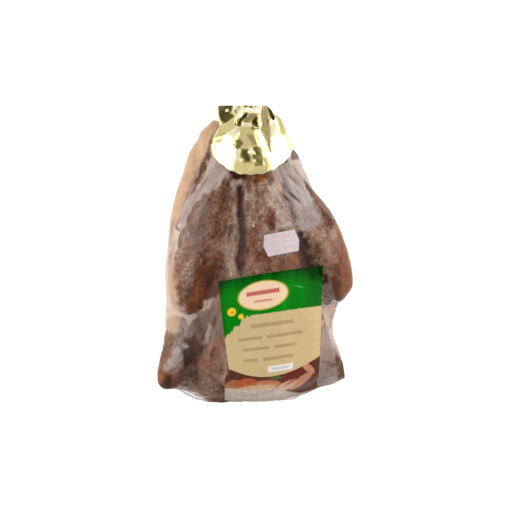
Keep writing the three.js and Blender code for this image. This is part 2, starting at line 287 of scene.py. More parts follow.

# %% [markdown]
# Smoke colours the rest unevenly. Each vertex gets a tone, from 0, nearly black, to 1, amber on
# the drumstick. The darkest tones, in the grooves and gaps, the shoulder hollow and under the
# foil, are painted shade. The tones are painted as soft-edged areas seen from above, later ones
# over earlier ones, like washes of paint.

# %% Choose the skin's tones
TONES = [  # tone, softness of the edge in mm, outline seen from above
    # the right drumstick
    (0.5, 4, [(45.5, 64.8), (58.1, 48.6), (68.9, 34.2), (77.9, 16.2), (85, -3.6), (87.8, -19.8),
        (85, -29.7), (77, -43.2), (70.7, -41.4), (67, -27.9), (62.6, -14.4), (58.1, -0.9),
        (54.5, 12.6), (52.6, 23.4), (56.2, 37.8)]),
    (0.36, 3, [(44.6, 65.7), (58.1, 48.6), (70.7, 30.6), (62.6, 27), (51.8, 45.9)]),
    (0.62, 3, [(74.2, 18), (79.7, 12.6), (86, -7.2), (87.8, -23.4), (83.2, -35.1), (77, -34.2),
        (74.2, -18.9), (76, -1.8)]),
    (0.34, 3, [(66.2, -9), (74.2, -12.6), (75.2, -27), (77, -42.3), (71.5, -42.3), (68, -27.9)]),
    # the left drumstick
    (0.37, 4, [(-26, 63), (-21, 58), (-27, 33), (-35, 4), (-24, -19), (-22, -27), (-45, -41),
        (-60, -55), (-63, -41), (-48, -10), (-38, 26), (-33, 44)]),
    (0.5, 4, [(-66.2, -32.4), (-44.6, -26.1), (-38.2, -41.4), (-44.6, -49.5), (-59, -55.8),
        (-67, -45.9)]),
    (0.42, 4, [(-57.1, 28.8), (-44.6, 44.1), (-35.6, 48.6), (-38.2, 26.1), (-47.2, -7.2),
        (-59, -32.4), (-65.2, -32.4), (-62.6, -7.2)]),
    (0.16, 3, [(-60.8, -7.2), (-56.2, -7.2), (-58.1, -32.4), (-61.6, -37.8), (-64.4, -30.6)]),
    # the groove beside it, and the gap beside the right one, darkened as painted shade
    (0.15, 3, [(-17, 62), (-10.3, 62), (-8.6, 22), (-7.7, -14.4), (-14, -21.6), (-19.4, -13),
        (-17, 13)]),
    (0.12, 3, [(34.6, 20.7), (41.9, 18.9), (47.2, 8.1), (47.2, -0.9), (38.2, 3.6), (36.5, 12.6)]),
    (0.1, 2, [(38.2, 4.5), (43.6, 3.6), (50, -3.6), (51.8, -12.6), (40.1, -13.5), (38.2, -3.6)]),
    (0.3, 3, [(47.2, 3.6), (56.2, 3.6), (57.1, -9.9), (50.9, -10.8)]),
    # the breast
    (0.5, 4, [(22.1, -2.7), (38.2, 1.8), (39.1, -11.7), (24.8, -14.4)]),
    (0.74, 2, [(-3, 74), (9, 74), (9, 65), (1, 62), (-3, 66)]),
    # a painted shadow under the foil's edge
    (0.1, 2, [(-22.1, 74.7), (-7.7, 72.9), (-8.6, 64.8), (-19.4, 64.8)]),
    # the hollow at the left shoulder, its dark tones painted shade
    (0.18, 5, [(-65.2, -56.7), (-45.5, -53.1), (-30.2, -55.8), (-31.1, -72.9), (-45.5, -80.1),
        (-65.2, -74.7)]),
    (0.0, 4, [(-65.2, -75.6), (-53.6, -74.7), (-46.4, -81.9), (-49.1, -90), (-53.6, -100.8),
        (-65.2, -104.4), (-68, -88.2)]),
    (0.3, 3, [(-53.6, -80.1), (-49.1, -80.1), (-50, -95.4), (-54.5, -97.2)]),
    (0.08, 4, [(-66.2, -104.4), (-51.8, -101.7), (-50.9, -117.9), (-64.4, -120.6),
        (-69.8, -113.4)]),
    # the left wing
    (0.42, 2, [(-82.4, -72), (-72.5, -71.1), (-73.4, -81.9), (-76, -92.7), (-83.2, -100.8),
        (-88.7, -106.2), (-86, -93.6)]),
    (0.6, 2, [(-89.5, -106.2), (-83.2, -100.8), (-77.9, -108), (-79.7, -117), (-84.2, -118.8),
        (-90.5, -116.1)]),
    (0.22, 2, [(-79.7, -108), (-76, -111.6), (-76, -122.4), (-82.4, -123.3), (-86, -120.6)]),
    # small spots, and the right wing
    (0.5, 2, [(-50.9, -91.8), (-44.6, -91.8), (-42.8, -100.8), (-50, -102.6)]),
    # painted shade in the gap beside the right knee
    (0.05, 2, [(59, -18), (64.4, -18.9), (65.2, -27), (59, -27.9)]),
    (0.35, 3, [(73.4, -90.9), (77.9, -97.2), (81.5, -110.7), (74.2, -113.4), (70.7, -100.8)]),
    (0.5, 1.5, [(30.2, 89.1), (37.4, 90.9), (38.2, 84.6), (32.9, 82.8)]),
]
PLAIN_TONE = 0.45  # of the skin between them
print("areas of skin:", len(TONES))

# %% [markdown]
# To paint an area, each point is asked how far it is from the area's outline, and on which side.
# A smooth step across the outline then gives the soft edge. Fine streaks come later, in the
# material. They run away from the foil, so each point also keeps its place round that pole.

# %% Paint the tones
STREAK_POLE = (-4, 135)  # x and y of the place that the streaks run away from


def inside(points, outline, soft):
    """1 well inside an outline seen from above, 0 well outside, and a soft edge between."""
    place = points[:, :2]
    nearest = np.full(len(place), 1e9)
    crossings = np.zeros(len(place), dtype=int)
    for start, end in zip(outline, outline[1:] + outline[:1]):
        start, end = np.array(start, dtype=float), np.array(end, dtype=float)
        way = end - start
        share = np.clip((place - start) @ way / (way @ way), 0, 1)
        nearest = np.minimum(nearest, np.linalg.norm(place - start - share[:, None] * way, axis=1))
        if way[1]:
            t = (place[:, 1] - start[1]) / way[1]
            crossings += (t >= 0) & (t < 1) & (place[:, 0] < start[0] + t * way[0])
    return smoothstep(np.where(crossings % 2, nearest, -nearest), -soft, soft)


def store_streaks(piece, points):
    """Keeps each point's place round and away from the pole, about in millimetres."""
    x, y = points[:, 0] - STREAK_POLE[0], STREAK_POLE[1] - points[:, 1]
    store(piece, "around", 100 * np.arctan2(x, np.abs(y) + 5))
    store(piece, "outward", 0.35 * np.hypot(x, y) + 0.5 * points[:, 2])


tone = np.full(len(points), PLAIN_TONE)
for amount, soft, outline in TONES:
    tone += (amount - tone) * inside(points, outline, soft) * smoothstep(points[:, 2], 25, 35)
store(hen, "tone", tone)
store_streaks(hen, points)
print("tones:", round(float(tone.min()), 2), "to", round(float(tone.max()), 2))

# %% [markdown]
# ## The film
#
# The bag is thin clear film, drawn tight by vacuum and closed by a weld along its lower end.
# The CAD solid already has its outside: where it rests on flesh, and where it bridges the gap
# between leg and breast. A copy of that surface is merged, because a CAD node is loose
# triangles, and remeshed finely, so that it can crease.

# %% Copy the bag's surface
FILM_VOXEL = 1.25  # mm

film = bpy.data.objects.new("film_bag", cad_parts["bag"].data.copy())
bpy.context.scene.collection.objects.link(film)
film.data.materials.clear()
take(film)
bpy.ops.object.mode_set(mode="EDIT")
bpy.ops.mesh.select_all(action="SELECT")
bpy.ops.mesh.remove_doubles(threshold=0.01 * MM)
bpy.ops.object.mode_set(mode="OBJECT")
modify(film, "REMESH", mode="VOXEL", voxel_size=FILM_VOXEL * MM)
modify(film, "SMOOTH", factor=0.5, iterations=4)
pull(film)
report(film)

# %% [markdown]
# The welded end is too thin for the remesh, which eats its edge. It is a flat strip of two
# layers that stick together, so it is laid out as a grid between its edge and the body, bent
# into shallow waves, given a thickness and joined to the film.

# %% Add the welded end
WELD_EDGE = (
    (-76, -123.5), (-71.4, -124.7), (-65, -127.2), (-60.4, -129.3), (-53, -133.3), (-45.6, -135.1),
    (-30.9, -135.5), (-14.3, -135), (2.3, -131.6), (18, -132.5), (33.7, -134.1), (41.1, -129.5),
    (48.4, -126.3), (57.7, -123), (72.4, -118.2), (82.1, -113.8), (81.6, -106.9), (79.3, -97.7),
)
WELD_DEPTH = 15  # from its edge to the body, in mm
WELD_HEIGHT = 34  # above the floor
WELD_THICK = 0.35  # two layers of film and the air between them


def add_grid(name, columns, rows):
    """A flat grid to bend into a sheet, and how far across and up it each point is, 0 to 1."""
    bpy.ops.object.select_all(action="DESELECT")
    bpy.ops.mesh.primitive_grid_add(x_subdivisions=columns, y_subdivisions=rows, size=2)
    grid = bpy.context.object
    grid.name = name
    flat = (points_of(grid) * MM + 1) / 2
    return grid, flat[:, 0], flat[:, 1]


weld, across, inward = add_grid("welded_end", 150, 12)
corners = np.array(WELD_EDGE, dtype=float)
length = np.concatenate([[0], np.cumsum(np.linalg.norm(np.diff(corners, axis=0), axis=1))])
x = np.interp(across * length[-1], length, corners[:, 0])
y = np.interp(across * length[-1], length, corners[:, 1])
wave = 1.0 * np.sin(x / 8) + 0.4 * np.sin(x / 3.4 + 1) + 0.2 * np.sin(x / 1.9)
strip = np.stack([
    x * (1 - 0.1 * inward),
    y + WELD_DEPTH * inward + 0.5 * np.sin(x / 4.3) * (1 - inward),
    WELD_HEIGHT + wave * (1 - 0.7 * inward) + 3 * inward,
], axis=1)
set_points(weld, strip)
store(weld, "seam", 1 + smoothstep(-inward, -0.1, 0))  # 1 on the strip, up to 2 at its edge
modify(weld, "SOLIDIFY", thickness=WELD_THICK * MM, offset=0)
report(weld)
take(film, weld)
bpy.ops.object.join()
report(film)

# %% [markdown]
# Free film is pulled towards the foil, so its wrinkles run along the bird. Noise that is
# stretched along them makes the many small ones. They stand only where the film is free: where
# it is further from the skin than a millimetre or so.

# %% Find the small wrinkles of the free film
FOIL_MIDDLE = (-4, 104)  # x and y of the place that the wrinkles run to


def normals_of(piece):
    """The direction that each vertex faces."""
    flat = np.zeros(len(piece.data.vertices) * 3, dtype=np.float32)
    piece.data.vertex_normals.foreach_get("vector", flat)
    return flat.reshape(-1, 3).astype(float)


def tree_of(piece):
    """A search tree over a piece's faces, to find its nearest point or where a ray meets it."""
    points = [Vector(p) for p in points_of(piece)]
    return BVHTree.FromPolygons(points, [tuple(face.vertices) for face in piece.data.polygons])


def slack_of(points):
    """How far the skin is from each point, in millimetres."""
    return np.array([skin.find_nearest(Vector(p))[3] for p in points])


skin = tree_of(hen)
points, normals = points_of(film), normals_of(film)
free = smoothstep(slack_of(points), 0.8, 4)
upper = smoothstep(normals[:, 2], 0.1, 0.4)
aside, below = points[:, 0] - FOIL_MIDDLE[0], FOIL_MIDDLE[1] - points[:, 1]
spread = np.stack([
    50 * np.arctan2(aside, np.abs(below) + 20),
    np.hypot(aside, below),
    points[:, 2],
], axis=1)
radiating = clouds(spread, (3.4, 42, 30), 1.0) + 0.5 * clouds(spread, (1.7, 20, 20), 5.0)
lift = 0.85 * free * radiating + 0.2 * clouds(points, (4, 6, 4), 9.0)
print("free film:", round(float(free.mean()), 2))

# %% [markdown]
# The few large creases that the eye takes in at once are drawn one by one, each from a point to
# a point. Noise wouldn't put them where vacuum and the folded legs did.

# %% Choose the large creases
CREASES = [  # from, to (x, y), height (less than 0 is a groove), half width, change of haze, which also paints shade into grooves and light onto ridges
    ((-15, 62.1), (-12.2, 4), -1.3, 3.0, -0.1),
    ((27.9, 54.9), (38.7, 46.4), -1.4, 0.9, -0.75),
    ((22.5, 53.1), (31.1, 45), -1.2, 0.9, -0.65),
    ((35.6, 48.6), (41, 44.1), -0.8, 0.9, -0.3),
    ((22.1, 63.9), (32.9, 50.4), -1.0, 1.4, -0.2),
    ((24.8, 72.9), (39.1, 59.4), -1.1, 1.1, -0.25),
    ((31.9, 78.3), (41, 66.6), -0.8, 1.0, -0.3),
    ((19.4, 76.5), (31.1, 52.2), -0.9, 1.2, -0.2),
    ((29.2, 48.6), (36.5, 19.8), -1.0, 2.0, -0.22),
    ((16.7, 75.6), (23.9, 63), 1.0, 1.6, 0.1),
    ((25.7, 72), (42.8, 50.4), 1.0, 1.5, 0.1),
    ((32.9, 83.7), (51.8, 57.6), 1.1, 1.6, 0.08),
    ((40.1, 52.2), (52.6, 25.2), 0.8, 1.6, 0.08),
    ((-73, 27), (-66.2, 19.4), -1.4, 1.1, -0.7),
    ((-27, 74), (-46, 42), 1.1, 1.6, 0.12),
    ((-36, 78), (-62, 34), -1.1, 1.3, -0.2),
    ((-43.6, 81.9), (-46.4, 64.8), -1.1, 1.2, -0.3),
    ((-30, 68), (-40, 54), -1.2, 1.2, -0.2),
    ((-20, 72), (-26, 58), -1.2, 1.5, -0.2),
    ((-64, 24), (-72, -8), 1.1, 1.8, 0.12),
    ((-50, -61.2), (-44.1, -88.2), -2.0, 3.6, -0.12),
    ((-41.9, -62.1), (-48.1, -78.3), -1.2, 1.3, -0.35),
    ((-52.6, -70.2), (-58.1, -78.3), -1.2, 1.3, -0.4),
    ((-66.2, -66.6), (-63.9, -74.7), -1.0, 1.1, -0.3),
    ((-38, -62), (-50, -78), 1.2, 1.8, 0.12),
    ((-34, -52), (-42, -80), -1.0, 1.4, -0.25),
    ((-66, -50), (-72, -76), 0.9, 1.8, 0.06),
    ((64, -52), (72, -100), 1.1, 1.6, 0.08),
    ((60, -44), (64, -88), -0.9, 1.5, -0.12),
    ((66, -88), (60, -112), 1.0, 1.6, 0.1),
    ((56.2, -116.1), (78.8, -110.7), 0.8, 1.0, 0.2),
    ((59, -96.3), (70.7, -100.8), -0.8, 1.4, -0.2),
    ((-68, -112), (-40, -116), 1.0, 2.0, 0.06),
]
CALM = [  # where the film is drawn smooth: share of the wrinkles taken away, softness, outline
    (0.75, 5, [(54.5, -43.2), (72.5, -43.2), (72.5, -68.4), (79.7, -95.4), (81.5, -113.4),
        (54.5, -124.2)]),
    (0.7, 4, [(-86, -7.2), (-69.8, -14.4), (-64.4, -52.2), (-66.2, -70.2), (-84.2, -73.8)]),
]
print("creases:", len(CREASES))

# %% [markdown]
# All the wrinkles are added up to one lift along the normals, so that the points move once. A
# Shrinkwrap modifier then keeps the film just outside the skin, where a groove went too deep.

# %% Wrinkle the film and keep it off the skin
FILM_GAP = 0.35  # mm between film and skin
FILM_LOWEST = 0.1  # mm above the floor


def along(points, start, end):
    """How far off a line from start to end each point is, and how far along it (0 to 1)."""
    start, end = np.array(start, dtype=float), np.array(end, dtype=float)
    way = end - start
    share = np.clip((points[:, :2] - start) @ way / (way @ way), 0, 1)
    off = np.linalg.norm(points[:, :2] - start - share[:, None] * way, axis=1)
    return off, share


for start, end, high, wide, _ in CREASES:
    off, share = along(points, start, end)
    taper = np.sin(np.pi * np.clip(share, 0.02, 0.98)) ** 0.6
    lift += high * upper * taper * np.exp(-((off / wide) ** 2))
for amount, soft, outline in CALM:
    lift *= 1 - amount * inside(points, outline, soft)
set_points(film, points + normals * lift[:, None])
modify(film, "SMOOTH", factor=0.4, iterations=1)
modify(
    film,
    "SHRINKWRAP",
    target=hen,
    wrap_method="NEAREST_SURFACEPOINT",
    wrap_mode="OUTSIDE",
    offset=FILM_GAP * MM,
)

points = points_of(film)
points[:, 2] = np.maximum(points[:, 2], FILM_LOWEST)
set_points(film, points)
take(film)
bpy.ops.object.shade_smooth()
report(film)

# %% [markdown]
# Frost grows in the gap under the film: clear film shows brown skin, and milky film hides a gap.
# The areas below are those of the real bag, each an outline with its own haze. Frost on skin is
# mottled and free film is evenly dull, so each area has its mottling too, and a warmth, because
# fat under the film tints the frost.

# %% Choose the hazy areas
AREAS = [  # haze, mottling, warmth, softness of the edge in mm, outline seen from above
    # the pale flank, and the milky web between it and the drumstick
    (0.24, 0.3, 1.0, 3, [(-52, 107), (-33, 124), (-36, 108), (-43, 94), (-53, 74), (-61, 53),
        (-68, 35), (-74, 13), (-79, -7), (-86, -7), (-81, 40), (-70, 76), (-63, 95)]),
    (0.74, 0.35, 0.1, 2.5, [(-45, 92), (-36, 85), (-25, 74), (-20, 68), (-25, 67), (-35, 55),
        (-45, 51), (-51, 47), (-57, 35), (-63, 23), (-69, 10), (-72, -7), (-75, -7), (-74, 13),
        (-68, 35), (-59, 58), (-53, 74)]),
    # the left drumstick
    (0.26, 1.0, 0.3, 1.4, [(-27, 67), (-20, 59), (-17, 49), (-16, 13), (-18, -7), (-23, -27),
        (-30, -36), (-46, -41), (-52, -53), (-60, -55), (-67, -43), (-71, -32), (-73, -23),
        (-72, -13), (-68, -2), (-66, 10), (-64, 19), (-58, 29), (-54, 38), (-51, 47), (-45, 51),
        (-35, 55)]),
    (0.35, 0.9, 0.4, 3, [(-20, 52), (-17, 44), (-16, 13), (-17, -7), (-22, -18), (-26.6, -7),
        (-26.6, 8), (-25.7, 29), (-23, 41)]),
    (0.13, 0.8, 0.3, 3, [(-26, 63), (-21, 58), (-23, 42), (-26.1, 33), (-27.4, 17), (-29.2, 4),
        (-27.4, -7), (-24, -19), (-22, -27), (-30, -36), (-45, -41), (-52, -53), (-60, -55),
        (-63, -41), (-54, -28), (-48, -10), (-45, 8), (-38, 26), (-33, 44)]),
    (0.42, 0.5, 0.0, 4, [(-53.6, 44.1), (-42.8, 48.6), (-35.6, 50.4), (-39.1, 28.8), (-46.4, 9),
        (-53.6, -1.8), (-59, 9)]),
    (0.34, 1.0, 0.5, 2.5, [(-68, 16.2), (-59, 19.8), (-60.8, -1.8), (-62.6, -25.2), (-68, -32.4),
        (-71.5, -16.2)]),
    (0.0, 0.2, 0.6, 3, [(-50, -12.6), (-37.4, -12.6), (-26.6, -23.4), (-30.2, -34.2),
        (-44.6, -40.5), (-51.8, -51.3), (-59.9, -53.1), (-62.6, -41.4), (-57.1, -28.8)]),
    # the left edge
    (0.5, 0.3, 0.4, 5, [(-78.8, 30.6), (-71.5, 30.6), (-73.4, 5.4), (-79.7, 5.4)]),
    (0.9, 0.35, 0.3, 1.5, [(-73.4, 27), (-66.2, 26.1), (-68, 12.6), (-70.7, -0.9), (-72.5, -12.6),
        (-77.9, -16.2), (-78.8, -0.9), (-76, 12.6)]),
    # the breast
    (0.36, 1.0, 0.3, 3, [(-10, 63), (6, 68), (17, 67), (22, 58), (29, 43), (35, 27), (37, 13),
        (39, -13), (-14, -21), (-9, -7), (-9, 26)]),
    (0.22, 0.8, 0.3, 4, [(-14, 23.4), (5.9, 23.4), (22.1, 1.8), (32.9, -12.6), (-15.8, -20.7),
        (-15.8, 3.6)]),
    (0.6, 0.8, 0.3, 3, [(9.5, 61.2), (20.2, 61.2), (25.7, 46.8), (31.9, 25.2), (14.8, 21.6),
        (11.2, 37.8), (5.9, 46.8)]),
    (0.7, 0.4, 0.5, 2, [(14, 72.9), (19.4, 72), (22.9, 61.2), (21.2, 55.8), (15.8, 61.2)]),
    # the groove, and the strip beside the flank
    (0.03, 0.35, 0.3, 2.5, [(-17, 60), (-11, 60), (-9, 22), (-9, -7), (-14, -18), (-18, -13),
        (-15, 13)]),
    (0.06, 0.6, 0.6, 1.8, [(-38, 104), (-38, 94), (-45, 76), (-51, 58), (-57, 51), (-58, 55),
        (-53, 68), (-48, 85), (-43, 100)]),
    # bare spots on the breast
    (0.0, 0.3, 0.5, 2.5, [(-3, 72), (9, 73), (9, 65), (1, 62), (-3, 66)]),
    (0.12, 0.3, 0.0, 2, [(-22.1, 74.7), (-7.7, 72.9), (-8.6, 65.7), (-19.4, 65.7)]),
    (0.06, 0.5, 0.3, 2, [(10, 40), (17, 40), (18, 29), (17, 20), (13, 20), (11, 31)]),
    (0.04, 0.5, 0.6, 3, [(22.9, -3.6), (38.2, 1.8), (40.1, -11.7), (25.7, -14.4), (19.4, -10.8)]),
    # the web from the foil to the right drumstick
    (0.8, 0.35, 0.0, 3, [(14, 76.5), (23.9, 82.8), (31.9, 77.4), (39.1, 68.4), (45.5, 61.2),
        (50, 48.6), (53.6, 37.8), (45.5, 30.6), (35.6, 30.6), (29.2, 39.6), (26.6, 48.6),
        (22.9, 59.4), (19.4, 69.3)]),
    (0.72, 0.45, 0.0, 4, [(30.2, 43.2), (52.6, 43.2), (57.1, 32.4), (59, 25.2), (50.9, 20.7),
        (39.1, 20.7), (33.8, 25.2)]),
    (0.55, 0.3, 0.0, 1.5, [(22.1, 63), (25.7, 61.2), (31.1, 48.6), (34.6, 35.1), (36.5, 22.5),
        (32.9, 22.5), (29.2, 37.8), (25.7, 48.6)]),
    # beside and under the foil
    (0.82, 0.3, 0.25, 2, [(26.6, 84.6), (31.1, 87.3), (38.2, 88.2), (43.6, 77.4), (45.5, 65.7),
        (39.1, 68.4), (31.9, 77.4)]),
    (0.8, 0.4, 0.0, 1.2, [(27.4, 93.6), (36.5, 93.6), (39.1, 84.6), (31.9, 82.8)]),
    (0.0, 0.2, 0.2, 1, [(22.1, 82.8), (27.4, 86.4), (28.4, 81.9), (24.8, 79.2)]),
    # the right drumstick
    (0.34, 1.0, 0.5, 3, [(49.1, 19.8), (59.9, 25.2), (74.2, 25.2), (77.9, 8.1), (72.5, -7.2),
        (59.9, -14.4), (54.5, -7.2), (49.1, 3.6)]),
    (0.08, 0.9, 0.3, 2, [(44.6, 65.7), (50, 59.4), (59, 48.6), (72.5, 28.8), (67, 23.4), (61.6, 27),
        (56.2, 37.8), (50.9, 48.6)]),
    (0.02, 0.3, 0.8, 3, [(74.2, 25.2), (80.5, 12.6), (86.9, -7.2), (88.7, -23.4), (81.5, -39.6),
        (72.5, -44.1), (68, -27.9), (67, -10.8), (76, -5.4)]),
    (0.55, 0.5, 0.4, 1.5, [(65.2, 19.8), (69.8, 23.4), (71.5, 16.2), (68.9, 9.9), (66.2, 11.7)]),
    # the gap beside it
    (0.0, 0.3, 0.2, 2.5, [(35.6, 19.8), (42.8, 18.9), (47.2, 8.1), (47.2, -0.9), (38.2, 3.6),
        (36.5, 12.6)]),
    (0.0, 0.1, 0.3, 1.5, [(38.2, 4.5), (43.6, 3.6), (50, -3.6), (51.8, -12.6), (40.1, -13.5),
        (38.2, -3.6)]),
    (0.42, 0.3, 0.0, 2, [(59, -26.1), (67, -23.4), (70.7, -41.4), (74.2, -46.8), (59.9, -49.5)]),
    (0.0, 0.1, 0.3, 1, [(59, -18.9), (63.5, -19.8), (64.4, -27), (59, -27)]),
    # free film beside the label
    (0.8, 0.1, 1.0, 2, [(59, -49.5), (74.2, -45.9), (69.8, -54.9), (69.8, -64.8), (59, -64.8)]),
    (0.55, 0.2, 0.15, 4, [(57.1, -63), (69.8, -63), (72.5, -77.4), (74.2, -88.2), (56.2, -88.2)]),
    (0.6, 0.15, 0.05, 3, [(56.2, -86.4), (74.2, -86.4), (76, -95.4), (79.7, -111.6),
        (56.2, -122.4)]),
    # the right wing
    (0.1, 0.4, 0.4, 2, [(74.2, -90.9), (78.8, -97.2), (81.5, -110.7), (75.2, -111.6),
        (71.5, -100.8)]),
    # free film at the left
    (0.4, 0.2, 1.0, 6, [(-86, 16.2), (-75.2, 16.2), (-73.4, -7.2), (-71.5, -23.4), (-86, -23.4)]),
    (0.6, 0.12, 1.0, 3.5, [(-86, -10.8), (-75.2, -7.2), (-70.7, -23.4), (-68.9, -41.4),
        (-63.5, -51.3), (-58.1, -56.7), (-65.2, -58.5), (-68, -66.6), (-75.2, -70.2),
        (-86, -70.2)]),
    (0.6, 0.25, 0.2, 3, [(-69.8, -57.6), (-59, -56.7), (-59, -68.4), (-64.4, -75.6), (-71.5, -72)]),
    # from the left knee to the label
    (0.36, 0.35, 0.0, 3, [(-59, -56.7), (-47.2, -52.2), (-33.8, -44.1), (-29.2, -57.6),
        (-29.2, -70.2), (-39.1, -81.9), (-47.2, -81.9), (-52.6, -74.7), (-62.6, -72.9)]),
    (0.58, 0.2, 0.2, 2, [(-41.9, -61.2), (-36.5, -64.8), (-40.1, -75.6), (-46.4, -83.7),
        (-48.1, -79.2), (-44.6, -71.1)]),
    # the neck end beside the label
    (0.28, 1.0, 0.35, 3, [(-47.2, -81.9), (-39.1, -77.4), (-30.2, -73.8), (-26.6, -88.2),
        (-23.9, -102.6), (-28.4, -108.9), (-28.4, -131.4), (-45.5, -127.8), (-59, -121.5),
        (-52.6, -104.4), (-50.9, -93.6)]),
    (0.1, 0.5, 0.5, 2, [(-50.9, -91.8), (-44.6, -91.8), (-42.8, -100.8), (-50, -102.6)]),
    # the hollow at the left shoulder
    (0.34, 0.8, 0.0, 2.5, [(-74.2, -72), (-64.4, -72), (-64.4, -82.8), (-68, -90), (-75.2, -88.2)]),
    (0.0, 0.12, 0.2, 3, [(-64.4, -75.6), (-53.6, -74.7), (-46.4, -81.9), (-49.1, -90),
        (-53.6, -100.8), (-65.2, -104.4), (-66.2, -88.2)]),
    (0.5, 0.6, 0.0, 1.2, [(-68.9, -79.2), (-62.6, -80.1), (-60.8, -83.7), (-67, -84.6)]),
    # the left wing
    (0.2, 0.6, 0.6, 2, [(-82.4, -72), (-73.4, -71.1), (-74.2, -81.9), (-77, -92.7), (-83.2, -100.8),
        (-91.4, -106.2), (-88.7, -93.6)]),
    (0.2, 0.5, 0.0, 3, [(-66.2, -104.4), (-51.8, -101.7), (-50.9, -117.9), (-62.6, -121.5),
        (-77, -121.5), (-76, -111.6)]),
    (0.55, 0.7, 0.0, 1.8, [(-71.5, -85.5), (-67, -86.4), (-68, -95.4), (-72.5, -101.7),
        (-78.8, -106.2), (-82.4, -105.3), (-79.7, -98.1), (-75.2, -92.7)]),
    (0.0, 0.1, 0.5, 1.5, [(-90.5, -106.2), (-83.2, -102.6), (-80.5, -107.1), (-76, -109.8),
        (-76, -123.3), (-84.2, -124.2), (-92.2, -116.1)]),
    # two ice crystals
    (0.6, 0.1, 0.0, 1, [(-65.7, -114.3), (-62.6, -114.3), (-62.6, -117.9), (-65.2, -117.9)]),
    (0.55, 0.1, 0.0, 1, [(-47.7, -113.9), (-45, -113.9), (-45, -116.5), (-47.2, -116.5)]),
]
print("areas of film:", len(AREAS))

# %% [markdown]
# The welded end has areas of its own, because film lies below it, and an outline seen from above
# would paint both. Parts of it, and a few patches of the free film, are painted brown.

# %% Choose the areas of the welded end, and the brown patches
SEAM_AREAS = [  # the same for the welded end: haze, mottling, brown, softness, outline
    (1.0, 0.3, 1.0, 2.5, [(-62.6, -108), (-19.4, -109.8), (-19.4, -138.6), (-37.4, -136.8),
        (-46.4, -132.3), (-56.2, -122.4)]),
    (0.08, 0.4, 0.3, 3, [(-80.5, -104.4), (-59, -109.8), (-62.6, -117), (-80.5, -124.2)]),
    (0.72, 0.25, 0.5, 3, [(50.9, -106.2), (67, -99), (80.5, -99), (83.2, -113.4), (67, -120.6),
        (50.9, -126)]),
    (0.9, 0.3, 1.0, 2, [(72.5, -91.8), (81.5, -91.8), (83.2, -112.5), (75.2, -114.3),
        (71.5, -100.8)]),
    (0.8, 0.4, 0.9, 2, [(38.2, -117), (56.2, -113.4), (58.1, -124.2), (38.2, -129.6)]),
]
BROWN_PATCHES = [  # where the free film is painted brown: depth, softness in mm, outline
    (0.9, 1.2, [(28.4, 92.7), (36, 92.7), (38.7, 84.6), (32.4, 82.8)]),
    (0.5, 3, [(58, -48), (75, -44), (71, -56), (71, -66), (58, -66)]),
    (0.3, 4, [(-82, 28), (-73, 28), (-73, 8), (-82, 8)]),
    (0.25, 4, [(58, -85), (76, -85), (82, -112), (58, -120)]),
]
print("areas of the weld:", len(SEAM_AREAS), "and stains:", len(BROWN_PATCHES))

# %% [markdown]
# Without any area the haze follows the gap from film to skin, and the areas are painted over
# that. A little noise is added to each point's place first, so that no edge is a straight line.
# Down the steep sides, where an outline seen from above smears into stripes, it is added most.

# %% Paint the haze
HAZE_ON_SKIN, HAZE_OVER_GAP = 0.3, 0.4  # the second is added to the first
WOBBLE, STEEP_WOBBLE = 2.0, 9.0  # how far an outline strays, in mm

points, normals = points_of(film), normals_of(film)
slack = slack_of(points)
haze = HAZE_ON_SKIN + HAZE_OVER_GAP * smoothstep(slack, 0.8, 5)
mottle = 1 - 0.6 * smoothstep(slack, 1, 5)
warmth = np.full(len(points), 0.3)
upper = smoothstep(normals[:, 2], -0.3, 0.0)
wobble = points.copy()
steep = (1 - smoothstep(normals[:, 2], 0, 0.4)) * clouds(points, (16, 16, 16), 40.0)
wobble[:, 0] += WOBBLE * clouds(points, (6, 6, 6), 20.0)
wobble[:, 1] += WOBBLE * clouds(points, (6, 6, 6), 30.0) + STEEP_WOBBLE * steep
for amount, mottling, warm, soft, outline in AREAS:
    share = upper * inside(wobble, outline, soft)
    haze += (amount - haze) * share
    mottle += (mottling - mottle) * share
    warmth += (warm - warmth) * share
print("slack, mm:", round(float(slack.min()), 2), "to", round(float(slack.max()), 1))

# %% [markdown]
# The strip was marked when it was made, so its points take their own numbers now. Creases come
# last: a groove is clearer than the film beside it, and a ridge is milkier. That is partly frost
# and partly painted shade in the grooves and painted light on the ridges. All of it is kept on
# the film's vertices, for its material.

# %% Paint the weld, the brown patches and the creases
def stored(piece, name):
    """The numbers kept on a piece by `store`."""
    values = np.zeros(len(piece.data.vertices), dtype=np.float32)
    piece.data.attributes[name].data.foreach_get("value", values)
    return values.astype(float)


seam = stored(film, "seam")
strip, rim = seam > 0.5, np.clip(seam - 1, 0, 1)
seam_haze, seam_mottle, brown = (np.full(len(points), amount) for amount in (0.22, 0.4, 0.25))
for amount, mottling, depth, soft, outline in SEAM_AREAS:
    share = inside(points, outline, soft)
    seam_haze += (amount - seam_haze) * share
    seam_mottle += (mottling - seam_mottle) * share
    brown += (depth - brown) * share
browned = np.zeros(len(points))
level = smoothstep(normals[:, 2], 0, 0.3)
for depth, soft, outline in BROWN_PATCHES:
    browned += (depth - browned) * level * inside(points, outline, soft)
haze = np.where(strip, seam_haze + 0.4 * rim, haze)
for start, end, high, wide, haze_and_shade in CREASES:
    off, share = along(points, start, end)
    haze += haze_and_shade * upper * np.exp(-((off / (0.9 * wide)) ** 2)) * np.sin(np.pi * share)
store(film, "haze", haze)
store(film, "mottle", np.where(strip, seam_mottle, mottle))
store(film, "warmth", np.where(strip, 0.1, warmth))
store(film, "brown", np.where(strip, brown + 0.3 * rim, browned))
store_streaks(film, points)
print("mean haze:", round(float(haze.mean()), 2))

# %% [markdown]
# ## The gold foil
#
# Gold foil is wrapped round the leg ends like a skirt: wide and bulging over the legs, narrow
# and gathered at the top. The sheet is a grid bent round an axis. Its section is an ellipse with
# fuller corners, because two legs lie in it side by side, and its hem comes down further at the
# front than at the back.

